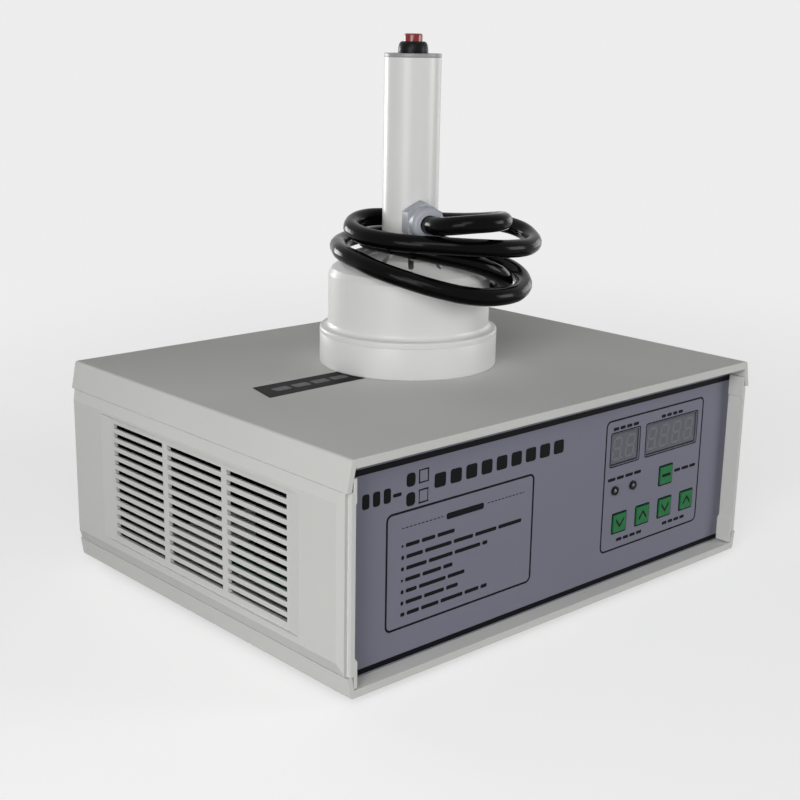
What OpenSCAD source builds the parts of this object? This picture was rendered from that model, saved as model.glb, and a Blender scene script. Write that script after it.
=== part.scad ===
// Induction cap sealer: a generator case, a hand-held sealing head and the lead between them.
// Millimetres. Seen from the front, +X is right, +Y is back and +Z is up.
// The origin lies on the standing surface, under the middle of the case.

/* [Case] */
// Width of the case, without the bulge of its side panels
case_w = 340; // [330:1:370]
// Depth of the case, front to back
case_d = 270; // [262:1:310]
// Height of the case, without its feet
case_h = 130; // [126:1:150]
// Wall of the moulded shells
wall = 3; // [2.6:0.1:3.4]
// Rounding along the case's long outer edges
edge_r = 2; // [1:0.1:2.5]
// Height of the cover's side flange
cover_flange = 17; // [14:0.5:20]
// How far the cover's flange leans out at its lower edge
cover_lean = 3; // [2:0.1:3.6]
// Height of the base's side flange
base_flange = 12; // [11:0.5:14]
// How far the base's flange leans out at its upper edge
base_lean = 1.5; // [1:0.1:2]
// Depth of the recess that the front and rear panels sit in
recess = 10.5; // [9:0.5:12]
// Thickness of the lip over the front and rear panels
lip_top = 5; // [4:0.1:6]
// Thickness of the lip under the front and rear panels
lip_bottom = 4.5; // [4:0.1:5]
// Play between shells, panels and grooves
fit_gap = 0.2; // [0.1:0.05:0.3]
// Height of the rubber feet
foot_h = 5; // [4:0.5:8]
// Radius of the rubber feet
foot_r = 11; // [9:0.5:13]

/* [Side panels] */
// How far the side panels stand out from the case's width
bulge = 5.2; // [4.4:0.1:6]
// Wall of the side panels
side_wall = 4.5; // [4:0.1:5]
// Height of the slope below the side panel's flat field
slope_low = 8; // [6:0.5:10]
// Height of the slope above the side panel's flat field
slope_high = 6; // [4:0.5:8]
// Depth of the recess around the louvres
louvre_recess = 1.5; // [1:0.1:2]
// Louvres in each column
louvre_rows = 13; // [6:1:13]
// Columns of louvres
louvre_columns = 3; // [1:1:3]
// Height of one louvre slot
slot_h = 2.8; // [2:0.1:3.2]
// Pitch of the louvre slots
slot_pitch = 5.8; // [5.2:0.1:6]
// How far a louvre slot falls on its way in
slot_fall = 0.8; // [0:0.1:1.2]
// Length of one louvre slot
slot_len = 54; // [40:1:58]
// Bar between two columns of louvres
slot_bar = 5; // [4:0.5:8]
// Height of the lowest slot over the case's underside
slot_low = 28.2; // [26:0.1:30]

/* [Front panel] */
// Thickness of the front and rear panels
panel_t = 2; // [1.5:0.1:2.5]
// Thickness of the printed film on the front panel
film_t = 0.4; // [0.3:0.05:0.5]
// How far the panels reach into the grooves of the walls
groove = 1.5; // [1:0.1:1.8]
// Width of one display digit
digit_w = 12.6; // [11:0.1:12.8]
// Height of the display modules
digit_h = 18.6; // [16:0.1:19]
// Gap between a display module and its window
window_gap = 0.7; // [0.4:0.1:0.9]
// How deep the display modules sit behind the film's face
display_sink = 0.8; // [0.5:0.1:1.5]
// Height of the displays' middle over the case's underside
display_z = 90.2; // [88:0.1:92]
// Place of the two-digit display
time_x = 60; // [59:0.1:62]
// Place of the four-digit display
count_x = 106.8; // [105:0.1:108]
// Place of the first indicator lamp
lamp_x = 52; // [50:0.1:54]
// Pitch of the indicator lamps
lamp_pitch = 17.5; // [15:0.1:20]
// Height of the indicator lamps over the case's underside
lamp_z = 63.6; // [60:0.1:66]
// Radius of the lamp lenses
lamp_r = 1.5; // [1.2:0.1:1.7]
// Width of a key
key_w = 12; // [10:0.1:13]
// Height of a key
key_h = 11.4; // [10:0.1:13]
// Gap around a key
key_gap = 0.4; // [0.3:0.05:0.6]
// How far a key stands proud of the film
key_proud = 0.8; // [0.6:0.1:1.2]
// Travel of a key
key_travel = 0.5; // [0.3:0.1:0.6]
// Place of the first of the four keys in the row
key_x = 58; // [57:0.1:59]
// Pitch of the keys in the row
key_pitch = 22.9; // [20:0.1:23.2]
// Height of the key row over the case's underside
key_z = 41.6; // [40:0.1:43]
// Place of the reset key
reset_x = 103; // [101:0.1:105]
// Height of the reset key over the case's underside
reset_z = 63.5; // [62:0.1:65]
// Space between the front panel and the control board
board_gap = 6.4; // [6.2:0.1:7]
// Thickness of the circuit boards
board_t = 1.6; // [1.2:0.1:2]

/* [Rear panel] */
// Width and height of the fan
fan_size = 80; // [70:1:82]
// Depth of the fan
fan_t = 25; // [22:1:28]
// Place of the fan
fan_x = -90; // [-94:1:-86]
// Height of the fan's middle over the case's underside
fan_z = 64; // [58:1:68]
// Place of the mains inlet and the mains switch
inlet_x = 5; // [0:1:10]
// Height of the mains inlet and the fuse over the case's underside
inlet_z = 38; // [34:1:42]
// Height of the mains switch over the case's underside
switch_z = 78; // [72:1:84]
// Place of the fuse holder
fuse_x = 55; // [52:1:58]
// Tilt of the mains switch's rocker to each side
rocker_tilt = 10; // [6:1:11]
// Place of the lead's gland on the rear panel
gland_x = 100; // [90:1:110]
// Height of the lead's gland on the rear panel over the case's underside
gland_z = 55; // [48:1:60]

/* [Sealing head] */
// Place of the head's axis across the case
head_x = -3; // [-10:1:10]
// Place of the head's axis along the case
head_y = 6; // [0:1:12]
// Radius of the head's base cap
cap_r = 56.5; // [55.5:0.1:60]
// Height of the base cap
cap_h = 20; // [19:0.1:24]
// Wall of the base cap
cap_wall = 4; // [3.4:0.1:4.4]
// Thickness of the sealing face
face_t = 3; // [2:0.1:4]
// Radius of the head's body
body_r = 51.2; // [50.6:0.1:52]
// Wall of the head's body
body_wall = 3; // [2.6:0.1:3.4]
// Height of the shoulder where the dome begins
shoulder_z = 59; // [56:0.5:62]
// Rise of the dome over the shoulder
dome_rise = 14; // [12:0.5:15]
// Number of slots in the dome
dome_slots = 14; // [8:1:16]
// Width of a slot in the dome
dome_slot_w = 3.5; // [2.5:0.1:4]
// Distance from the axis to the inner end of a slot
dome_slot_in = 28; // [26:0.5:30]
// Distance from the axis to the outer end of a slot
dome_slot_out = 40; // [38:0.5:42]
// Radius of the handle tube
tube_r = 17.5; // [17:0.1:18]
// Wall of the handle tube
tube_wall = 2.5; // [2:0.1:2.8]
// Height of the handle tube's end over the case
tube_top = 189.6; // [170:0.1:210]
// Thickness of the handle's end cap
end_cap_t = 2.4; // [2:0.1:4]
// Height of the black boot around the trigger button
boot_h = 7; // [6:0.1:9]
// Radius of the boot at its foot
boot_r = 9.2; // [9:0.1:10]
// Radius of the trigger button
button_r = 5.7; // [5:0.1:5.9]
// How far the trigger button stands out of its boot
button_proud = 4.6; // [4:0.1:6]
// Travel of the trigger button
button_travel = 3; // [2:0.1:3.4]
// Height of the handle's gland over the case
handle_gland_z = 92.3; // [90:0.1:96]
// Direction of the handle's gland around the axis
handle_gland_turn = -115; // [-120:1:-110]

/* [Lead] */
// Diameter of the lead
cable_d = 11; // [8:0.5:11]

/* [Hidden] */
$fn = 64;

// Colours
shell_tint = "#dcdad0";
head_tint = "#f0eee8";
film_tint = "#8f95a6";
black_tint = "#1c1c1e";
green_tint = "#1f7a4a";
board_tint = "#2d6b45";
steel_tint = "#b9bcc0";
nylon_tint = "#c3cad0";

// Case levels and walls
half_w = case_w / 2;
half_d = case_d / 2;
under_z = foot_h;
roof_z = foot_h + case_h;
floor_z = under_z + wall;
ceil_z = roof_z - wall;
inner_w = half_w - wall;
cut = 1;
thread_play = 0.05;
head_play = 0.4;
corner_r = 0.6;

// Panels, counted from the front and mirrored for the rear
film_y = half_d - recess;
panel_y = film_y - film_t;
panel_in = panel_y - panel_t;
panel_half = inner_w + groove;
panel_top = ceil_z - fit_gap;
rib_t = 2.5;
rib_h = 5;
rib_end = 20;

// Control board behind the front panel
board_y = panel_in - board_gap;
board_x = 90;
board_w = 98;
board_low = 28;
board_high = 110;
board_inset = 4;
pillar_r = 2.5;
thread_r = 1.3;
screw_r = 1.2;
screw_hole_r = 1.6;
screw_head_r = 2.75;
screw_head_t = 2;
screw_grip = 5;
screw_short = 1;
screw_out = 1;

// Keys and their switches
key_flange = 1.4;
key_flange_t = 1.2;
key_rest_gap = 0.3;
stem_r = 1.65;
stem_play = 0.2;
stem_in = 1;
stem_spare = 0.5;
tact_size = 6;
tact_h = 3.5;
key_row = [for (i = [0:3]) [key_x + i * key_pitch, key_z]];
keys = concat([[reset_x, reset_z]], key_row);

// Indicator lamps
lamps = [for (i = [0:1]) [lamp_x + i * lamp_pitch, lamp_z]];
bezel_r = 2.9;
bezel_t = 1;
bezel_wall = 0.65;
bezel_play = 0.15;
barrel_r = lamp_r + bezel_play + bezel_wall;
barrel_in = 1.1;
lens_proud = 0.3;
lamp_flange_t = 1;
lead_r = 0.3;
lead_x = 1.2;

// Case screws, feet and their bosses
boss_x = half_w - 16;
boss_back = 42;
boss_y = half_d - boss_back;
boss_r = 6;
boss_rise = 55;
boss_split = under_z + boss_rise;
boss_web = 15;
case_screw_r = 1.6;
case_screw_hole = 1.9;
case_head_r = 3.5;
case_head_t = 2.5;
case_screw_reach = 15;
foot_x = half_w - 30;
foot_y = half_d - 30;
foot_boss_r = 4;
foot_boss_h = 6;
foot_chamfer = 1.5;
foot_sole = 2;
foot_head_sink = 1;

// Power board on the base
power_x = -25;
power_y = -15;
power_w = 200;
power_d = 140;
power_inset = 6;
power_lift = 9;
power_pillar_r = 4;
power_z = floor_z + power_lift;
deck_z = power_z + board_t;
power_corners = [for (sx = [-1, 1], sy = [-1, 1])
    [power_x + sx * (power_w / 2 - power_inset), power_y + sy * (power_d / 2 - power_inset)]];

// Heat sink and power transistors
sink_x = -60;
sink_y = -5;
sink_w = 100;
sink_base = 6;
sink_fin = 26;
sink_fin_t = 2;
sink_fins = 9;
sink_h = 55;
transistors = [for (i = [-1:1]) sink_x + i * 30];
transistor_w = 16;
transistor_h = 21;
transistor_t = 5;
transistor_lift = 20;
transistor_hole = 16;
leg_w = 1.2;
leg_t = 0.8;
leg_pitch = 5.4;

// Boxed components on the power board: place across and along, width, depth and height
rectifier = [25, -55, 28, 28, 11];
rectifier_hole = 2.5;
filter_box = [-85, -55, 42, 20, 37];
resonant_boxes = [[-30, -40, 32, 14, 25], [-30, -65, 32, 14, 25]];
box_corner = 1.5;
box_floor = 2;

// Filter choke, a wound ring
choke_x = 45;
choke_y = -14;
choke_r = 14;
choke_w = 10;
choke_h = 14;
choke_edge = 2;

// Matching transformer
core_x = 35;
core_y = 32;
core_w = 42;
core_h = 42;
core_t = 20;
core_leg = 12;
core_yoke = 6;
winding_gap = 0.3;
winding_t = 7.5;
winding_corner = 4;

// Fan
fan_in = panel_in - fan_t;
fan_inset = 4.25;
fan_hole = fan_size / 2 - fan_inset;
fan_rim = 2;
fan_bore = fan_size / 2 - fan_rim;
fan_overlap = 1;
fan_tip_gap = 1.5;
fan_hub = 15;
motor_t = 5;
motor_gap = 0.6;
motor_floor = 1;
strut_w = 4;
shaft_r = 1.5;
shaft_play = 0.2;
fan_blades = 7;
blade_t = 1.6;
blade_pitch = 35;
fan_screw_r = 1.9;
fan_screw_hole = 2.2;
fan_grip = 16;
fan_head_r = 3.5;
guard_t = 1.5;
guard_w = 1.6;
guard_rings = 4;
fan_corners = [for (sx = [-1, 1], sz = [-1, 1]) [sx * fan_hole, sz * fan_hole]];

// Mains inlet
inlet_w = 28;
inlet_h = 20;
inlet_wall = 2;
inlet_flange_w = 50;
inlet_flange_h = 24;
inlet_flange_t = 3;
inlet_deep = 16;
inlet_back = 4;
inlet_corner = 3;
inlet_screw_x = 20;
pin_w = 2;
pin_h = 4;
pin_low = 5;
pin_tail = 8;
pins = [[-7, -2], [7, -2], [0, 3]];

// Mains switch
switch_w = 13;
switch_h = 19;
switch_flange = 1;
switch_flange_t = 2;
switch_deep = 18;
switch_room = 10;
switch_side = 0.9;
switch_end = 0.7;
pivot_in = 3.1;
pivot_r = 1.2;
pivot_play = 0.1;
pivot_end = 0.3;
rocker_play = 0.3;
rocker_half = 7.6;
rocker_face = 4.6;
rocker_end = 5.6;
rocker_side = 2.2;
rocker_tail = 4;
rocker_tail_half = 3;

// Fuse
fuse_barrel_r = 6.4;
fuse_barrel = 32;
fuse_flange_r = 9;
fuse_flange_t = 2;
fuse_bore = 4;
fuse_floor = 4;
fuse_r = 2.6;
fuse_len = 20;
fuse_cap_r = 7.5;
fuse_cap_t = 6;
fuse_cap_gap = 0.3;
fuse_cap_slot = 1.2;

// Cable glands, along their own axis from the seat
gland_r = 8;
gland_play = 0.2;
gland_af = 22;
gland_hex = 5;
gland_gap = 0.2;
gland_neck = 12;
gland_tip = 21;
gland_mouth = 3;
gland_mouth_play = 0.3;
gland_dome_r = 10.6;
gland_taper = 2;
gland_tip_r = 7;
gland_in = 12;
locknut_t = 5;
hex_ratio = 1 / cos(30);
seat_gap = 0.5;
gland_seat = tube_r + seat_gap;
thread_in = 2;

// Sealing head, counted from the top of the case
cap_in = cap_r - cap_wall;
spigot_r = cap_in - fit_gap;
body_in = body_r - body_wall;
coil_t = 4;
carrier_t = 3;
carrier_z = face_t + coil_t;
spigot_z = carrier_z + carrier_t;
flange_t = 2.2;
flange_round = 1.4;
flange_sweep = 80;
cove_r = 2.8;
shoulder_r = 2.2;
cone_r = 37;
cone_share = 0.74;
dome_t = 3.6;
socket_wall = 3.3;
socket_lip = 3;
socket_deep = 14;
socket_z = shoulder_z + dome_rise - socket_deep;
coil_turns = 8;
coil_in = 10;
coil_pitch = 4.6;
coil_wire = 4;
coil_step = 24;
bars = 8;
bar_in = 14;
bar_len = 30;
bar_w = 10;
bar_h = 8;
carrier_hole = 8;
slot_turn = -105.6;
cap_edge = 0.8;
cap_seam = 0.5;

// Handle end and trigger
spigot_len = 8;
spigot_wall = 2.6;
switch_thread = 8;
switch_reach = 34;
switch_nut_af = 19;
switch_nut_t = 5;
boot_top_r = 6.8;
boot_step = 15;
boot_foot = 2;
button_play = 0.25;
button_len = 16;
button_spare = 1;
button_edge = 0.8;
terminal_w = 4;
terminal_t = 0.8;
terminal_len = 8;

// Route of the lead around the handle: right, front and height, turned to lie as it was put down
cable_sides = 10;
lay_turn = -42.9;
lead_turns = [
    [13.9, 43.3, 92.7], [19.2, 52, 93.7], [27.9, 57.3, 95.1], [38.1, 58.1, 96.2], [47.5, 54.2, 96.5],
    [53.9, 46.4, 96.3], [56.2, 36.3, 95.7], [55, 26.3, 94.8], [51, 14.4, 92.9], [41.5, 0.3, 90.4],
    [25, -15.3, 88.1], [2.9, -24.2, 87.7], [-17.1, -22, 89.5], [-31.2, -11.8, 89.2], [-36.2, 5.4, 86.5],
    [-31.2, 22.6, 84.5], [-17.2, 37.8, 83.1], [-0.3, 45, 82.1], [19.7, 47, 81.4], [41.8, 44.8, 80.2],
    [61.8, 33.7, 78.5], [74.8, 14.6, 77.8], [76.9, -5.5, 79.7], [68.9, -23.6, 83.6], [51.9, -37.7, 85],
    [29.9, -46.8, 83.4], [4.9, -51.9, 80.9], [-20.1, -48.9, 76.8], [-38, -33.9, 73.8], [-45, -13.9, 72.8],
    [-44, 4.1, 72.4], [-40.1, 21.1, 71.6], [-31.1, 36.1, 70.1], [-20.1, 48.1, 67.1], [-4.1, 56.1, 63],
    [17.9, 59.2, 57.2], [39.8, 56.2, 52.8], [57.8, 44.3, 51.3], [68.7, 25.4, 51.7], [71.7, 5.5, 54.4],
    [66.6, -11.4, 58.3], [54.5, -26.3, 61.1], [39.4, -39.1, 64.3], [22.3, -46, 68.9], [3.2, -41.8, 74.5],
    [-14.9, -31.5, 77], [-27, -17.2, 77.9], [-28.2, -1.8, 78.2], [-24.3, 12.6, 78.6], [-15.4, 24.1, 78.6],
    [-4.5, 31.6, 77.6], [8.7, 36.4, 75.8], [23.1, 38, 73.3], [38.3, 34.5, 69.3], [51.6, 26.1, 63.2],
    [58.9, 14.7, 56.9], [59.7, 1.3, 50.9], [56.5, -13.1, 47], [49.7, -29.5, 44.7], [36.8, -45.7, 38.2],
    [20.7, -59.7, 28.2], [4.5, -71.8, 17.3], [-6.6, -85.8, 9], [-10.7, -104.9, 5.9], [-11.7, -124.9, 5.9],
    [-11.8, -145.9, 5.9]
];
// Then over the rear edge and down to the gland: right of the gland, back of the panel, over the case
lead_tail = [
    [-4, 9.9, 6.1], [-2, 22.9, 5.6], [-0.5, 34.9, 1.3], [0, 43.9, -7.7], [0, 48.9, -19.8],
    [0, 50.4, -33.8], [0, 50.4, -48.9], [0, 47.4, -60.9], [0, 38.9, -71], [0, 27.9, -75]
];

// A box between two corners
module block(low, high) {
    translate(low) cube(high - low);
}

// Local Z along +Y, away from the rear panel
module toward_back(x, y, z) {
    translate([x, y, z]) rotate([-90, 0, 0]) children();
}

// Local Z along -Y, toward the person in front
module toward_front(x, y, z) {
    translate([x, y, z]) rotate([90, 0, 0]) children();
}

// A flat plate with round corners, standing on the XY plane
module round_plate(w, h, r, t) {
    linear_extrude(t) {
        square([w - 2 * r, h], center = true);
        square([w, h - 2 * r], center = true);
        for (sx = [-1, 1], sy = [-1, 1])
            translate([sx * (w / 2 - r), sy * (h / 2 - r)]) circle(r);
    }
}

// A hexagon across its flats
module hexagon(af, t) {
    cylinder(h = t, r = af / 2 * hex_ratio, $fn = 6);
}

// A pan-head screw whose head sits on the XY plane and whose shank points down
module screw(shank, length, head, head_t) {
    cylinder(h = head_t, r = head);
    translate([0, 0, -length]) cylinder(h = length + head_t / 2, r = shank);
}

// Points on an arc in a revolved or extruded profile
function arc(c, r, a, b, steps) =
    [for (i = [0:steps]) c + r * [cos(a + (b - a) * i / steps), sin(a + (b - a) * i / steps)]];

// A profile's right half and its mirror image as one closed outline
function mirrored(right) =
    concat(right, [for (i = [len(right) - 1:-1:0]) [-right[i][0], right[i][1]]]);

// A profile in X and Z, drawn out along the depth of the case
module along_depth(length) {
    rotate([90, 0, 0]) linear_extrude(length, center = true) children();
}

// The room that the front and rear panels take up in the grooves
module panel_pockets() {
    for (turn = [0, 180]) rotate([0, 0, turn])
        block([-panel_half - fit_gap, -panel_y - fit_gap, floor_z],
              [panel_half + fit_gap, -panel_in + fit_gap, ceil_z]);
}

// Places of the four case screws and of the four feet
module at_corners(x, y) {
    for (sx = [-1, 1], sy = [-1, 1]) translate([sx * x, sy * y, 0]) children();
}

// A lip over or under a panel with a rib behind it, at the front and at the rear
module panel_lips(low, high, rib_low, rib_high) {
    for (turn = [0, 180]) rotate([0, 0, turn]) {
        block([-inner_w, -half_d, low], [inner_w, -panel_y - fit_gap, high]);
        block([-half_w + rib_end, -panel_in + fit_gap, rib_low],
              [half_w - rib_end, -panel_in + fit_gap + rib_t, rib_high]);
    }
}

module top_cover() {
    right = concat(
        arc([half_w - edge_r, roof_z - edge_r], edge_r, 90, 0, 6),
        [[half_w + cover_lean, roof_z - cover_flange],
         [inner_w + cover_lean, roof_z - cover_flange],
         [inner_w, ceil_z]]);
    color(shell_tint) difference() {
        union() {
            along_depth(case_d) polygon(mirrored(right));
            panel_lips(roof_z - lip_top, ceil_z + wall / 2, ceil_z - rib_h, ceil_z + wall / 2);
            at_corners(boss_x, boss_y)
                translate([0, 0, boss_split]) cylinder(h = ceil_z - boss_split + wall / 2, r = boss_r);
        }
        panel_pockets();
        at_corners(boss_x, boss_y)
            translate([0, 0, boss_split - cut])
                cylinder(h = case_screw_reach + 2 * cut, r = case_screw_r + thread_play);
    }
}

module base_shell() {
    right = concat(
        [[inner_w, floor_z],
         [inner_w + base_lean, under_z + base_flange],
         [half_w + base_lean, under_z + base_flange]],
        arc([half_w - edge_r, under_z + edge_r], edge_r, 0, -90, 6));
    color(shell_tint) difference() {
        union() {
            along_depth(case_d) polygon(mirrored(right));
            panel_lips(floor_z - wall / 2, under_z + lip_bottom, floor_z - wall / 2, floor_z + rib_h);
            at_corners(boss_x, boss_y)
                translate([0, 0, floor_z - wall / 2])
                    cylinder(h = boss_split - floor_z + wall / 2, r = boss_r);
            at_corners(foot_x, foot_y)
                translate([0, 0, floor_z - wall / 2]) cylinder(h = foot_boss_h + wall / 2, r = foot_boss_r);
            for (p = power_corners)
                translate([p[0], p[1], floor_z - wall / 2])
                    cylinder(h = power_lift + wall / 2, r = power_pillar_r);
        }
        panel_pockets();
        at_corners(boss_x, boss_y) translate([0, 0, under_z - cut]) {
            cylinder(h = case_h, r = case_screw_hole);
            cylinder(h = boss_split - boss_web - under_z + cut, r = case_head_r + head_play);
        }
        at_corners(foot_x, foot_y)
            translate([0, 0, under_z - cut])
                cylinder(h = wall + foot_boss_h + 2 * cut, r = case_screw_r + thread_play);
        for (p = power_corners)
            translate([p[0], p[1], power_z - screw_grip]) cylinder(h = screw_grip + cut, r = thread_r);
    }
}

// The side panel's tongues slip behind the flanges of the cover and the base
tongue_t = 2;
tongue_h = 7;
side_low = under_z + base_flange + fit_gap;
side_high = roof_z - cover_flange - fit_gap;
tongue_high_x = inner_w + cover_lean * (cover_flange - wall - tongue_h) / (cover_flange - wall) - fit_gap;
tongue_low_x = inner_w + base_lean * (base_flange - wall - tongue_h) / (base_flange - wall) - fit_gap;
side_in = half_w + bulge - side_wall;
side_inset = 2.5;
side_chamfer = 3;
louvre_y = -1;
louvre_end = 88;
louvre_slope = 17;
louvre_margin = 4;

module side_section() {
    polygon([
        [half_w + base_lean, side_low],
        [half_w + bulge, side_low + slope_low],
        [half_w + bulge, side_high - slope_high],
        [half_w + cover_lean, side_high],
        [tongue_high_x, side_high],
        [tongue_high_x, side_high + tongue_h],
        [tongue_high_x - tongue_t, side_high + tongue_h],
        [tongue_high_x - tongue_t, side_high - slope_high],
        [side_in, side_high - 2 * slope_high],
        [side_in, side_low + 2 * slope_low],
        [tongue_low_x - tongue_t, side_low + slope_low],
        [tongue_low_x - tongue_t, side_low - tongue_h],
        [tongue_low_x, side_low - tongue_h],
        [tongue_low_x, side_low]
    ]);
}

// One column of louvre slots, cut right through the wall
module louvre_column(y) {
    face = half_w + bulge - louvre_recess;
    thick = side_wall - louvre_recess;
    for (i = [0:louvre_rows - 1]) {
        low = under_z + slot_low + i * slot_pitch;
        translate([0, y, 0]) along_depth(slot_len)
            polygon([[face + cut, low], [face + cut, low + slot_h], [face, low + slot_h],
                     [face - thick, low + slot_h - slot_fall], [face - thick - cut, low + slot_h - slot_fall],
                     [face - thick - cut, low - slot_fall], [face - thick, low - slot_fall], [face, low]]);
    }
}

module side_panel() {
    field_low = under_z + slot_low - louvre_margin;
    field_high = under_z + slot_low + (louvre_rows - 1) * slot_pitch + slot_h + louvre_margin;
    face = half_w + bulge;
    outer_y = half_d - side_inset;
    difference() {
        intersection() {
            union() {
                along_depth(case_d) side_section();
                for (turn = [0, 1]) mirror([0, turn, 0])
                    block([inner_w, -half_d, side_low],
                          [half_w + base_lean, -half_d + recess + 2 * rib_t, side_high]);
            }
            linear_extrude(roof_z) polygon([
                [half_w - rib_end, -half_d], [half_w, -half_d], [half_w, -outer_y],
                [face - side_chamfer, -outer_y], [face, -outer_y + side_chamfer],
                [face, outer_y - side_chamfer], [face - side_chamfer, outer_y],
                [half_w, outer_y], [half_w, half_d], [half_w - rib_end, half_d]]);
        }
        panel_pockets();
        translate([0, louvre_y, field_low]) linear_extrude(field_high - field_low) polygon([
            [face - louvre_recess, -louvre_end], [face + cut, -louvre_end - louvre_slope],
            [face + cut, louvre_end + louvre_slope], [face - louvre_recess, louvre_end]]);
        for (i = [0:louvre_columns - 1])
            louvre_column(louvre_y + (i - (louvre_columns - 1) / 2) * (slot_len + slot_bar));
    }
}

module side_panel_left() {
    color(shell_tint) mirror([1, 0, 0]) side_panel();
}

module side_panel_right() {
    color(shell_tint) side_panel();
}

// Cut-outs for the displays, lamps and keys, through the film and the front panel
module front_openings() {
    deep = panel_t + film_t + 2 * cut;
    for (d = [[time_x, 2], [count_x, 4]])
        toward_front(d[0], -panel_in + cut, under_z + display_z)
            round_plate(d[1] * digit_w + 2 * window_gap, digit_h + 2 * window_gap, corner_r, deep);
    for (p = lamps)
        toward_front(p[0], -panel_in + cut, under_z + p[1])
            cylinder(h = deep, r = barrel_r + thread_play);
    for (p = keys)
        toward_front(p[0], -panel_in + cut, under_z + p[1])
            round_plate(key_w + 2 * key_gap, key_h + 2 * key_gap, corner_r, deep);
}

module front_panel() {
    color(steel_tint) difference() {
        block([-panel_half, -panel_y, floor_z], [panel_half, -panel_in, panel_top]);
        front_openings();
    }
}

module front_film() {
    color(film_tint) difference() {
        block([-inner_w + fit_gap, -film_y, under_z + lip_bottom + fit_gap],
              [inner_w - fit_gap, -panel_y, roof_z - lip_top - fit_gap]);
        front_openings();
    }
}

module rear_panel() {
    back = panel_in - cut;
    deep = panel_t + 2 * cut;
    color(film_tint) difference() {
        block([-panel_half, panel_in, floor_z], [panel_half, panel_y, panel_top]);
        toward_back(fan_x, back, under_z + fan_z) {
            cylinder(h = deep, r = fan_bore - fan_overlap);
            for (p = fan_corners) translate(p) cylinder(h = deep, r = fan_screw_hole);
        }
        toward_back(inlet_x, back, under_z + inlet_z) {
            round_plate(inlet_w + 2 * fit_gap, inlet_h + 2 * fit_gap, corner_r, deep);
            for (s = [-1, 1]) translate([s * inlet_screw_x, 0, 0]) cylinder(h = deep, r = thread_r);
        }
        toward_back(inlet_x, back, under_z + switch_z)
            round_plate(switch_w + 2 * fit_gap, switch_h + 2 * fit_gap, corner_r, deep);
        toward_back(fuse_x, back, under_z + inlet_z) cylinder(h = deep, r = fuse_barrel_r + fit_gap);
        toward_back(gland_x, back, under_z + gland_z) cylinder(h = deep, r = gland_r + gland_play);
    }
}

module rubber_feet() {
    color(black_tint) at_corners(foot_x, foot_y) difference() {
        rotate_extrude() polygon([
            [0, 0], [foot_r - foot_chamfer, 0], [foot_r, foot_h - foot_chamfer],
            [foot_r, foot_h], [0, foot_h]]);
        translate([0, 0, -cut]) cylinder(h = foot_h + 2 * cut, r = case_screw_hole);
        translate([0, 0, -cut]) cylinder(h = foot_h - foot_sole + cut, r = case_head_r + head_play);
    }
}

module foot_screws() {
    color(steel_tint) at_corners(foot_x, foot_y) translate([0, 0, foot_h - foot_sole]) mirror([0, 0, 1])
        screw(case_screw_r, foot_sole + wall + foot_boss_h - screw_short, case_head_r,
              foot_h - foot_sole - foot_head_sink);
}

module case_screws() {
    color(steel_tint) at_corners(boss_x, boss_y) translate([0, 0, boss_split - boss_web]) mirror([0, 0, 1])
        screw(case_screw_r, boss_web + case_screw_reach, case_head_r, case_head_t);
}

// A display module between the control board and its window
module display(x, digits) {
    w = digits * digit_w;
    low = under_z + display_z - digit_h / 2;
    block([x - w / 2, -film_y + display_sink, low], [x + w / 2, -board_y, low + digit_h]);
}

module time_display() {
    color("#6f757c") display(time_x, 2);
}

module count_display() {
    color("#6f757c") display(count_x, 4);
}

// A lamp: lens, flange behind its bezel and two leads down to the board
module indicator_lamps() {
    flange_y = -panel_in + barrel_in;
    lens = film_y + bezel_t + lens_proud - lamp_r + flange_y;
    color("#a8b0b4") for (p = lamps) toward_front(p[0], flange_y, under_z + p[1]) {
        cylinder(h = lens, r = lamp_r);
        translate([0, 0, lens]) sphere(lamp_r);
        translate([0, 0, -lamp_flange_t]) cylinder(h = lamp_flange_t, r = barrel_r);
        for (s = [-1, 1]) translate([s * lead_x, 0, board_y + flange_y])
            cylinder(h = -board_y - flange_y, r = lead_r);
    }
}

module lamp_bezels() {
    color(black_tint) for (p = lamps) difference() {
        union() {
            toward_front(p[0], -film_y, under_z + p[1]) cylinder(h = bezel_t, r = bezel_r);
            toward_front(p[0], -panel_in + barrel_in, under_z + p[1])
                cylinder(h = film_y - panel_in + barrel_in + bezel_t / 2, r = barrel_r);
        }
        toward_front(p[0], -panel_in + barrel_in + cut, under_z + p[1])
            cylinder(h = film_y - panel_in + barrel_in + bezel_t + 2 * cut, r = lamp_r + bezel_play);
    }
}

// A key: cap through the panel, flange behind it and a stem down into its switch
module key(p) {
    flange_y = -panel_in + key_rest_gap;
    stem_y = -board_y - tact_h + stem_in;
    color(green_tint) {
        toward_front(p[0], flange_y + key_flange_t / 2, under_z + p[1])
            round_plate(key_w, key_h, corner_r, film_y + key_proud + flange_y + key_flange_t / 2);
        toward_front(p[0], flange_y + key_flange_t, under_z + p[1])
            round_plate(key_w + 2 * key_flange, key_h + 2 * key_flange, corner_r, key_flange_t);
        toward_front(p[0], stem_y, under_z + p[1]) cylinder(h = stem_y - flange_y, r = stem_r);
    }
}

module key_reset() { key(keys[0]); }
module key_time_down() { key(keys[1]); }
module key_time_up() { key(keys[2]); }
module key_count_down() { key(keys[3]); }
module key_count_up() { key(keys[4]); }

module tact_switches() {
    color(black_tint) for (p = keys) difference() {
        block([p[0] - tact_size / 2, -board_y - tact_h, under_z + p[1] - tact_size / 2],
              [p[0] + tact_size / 2, -board_y, under_z + p[1] + tact_size / 2]);
        toward_back(p[0], -board_y - tact_h - cut, under_z + p[1])
            cylinder(h = stem_in + key_travel + stem_spare + cut, r = stem_r + stem_play);
    }
}

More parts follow.
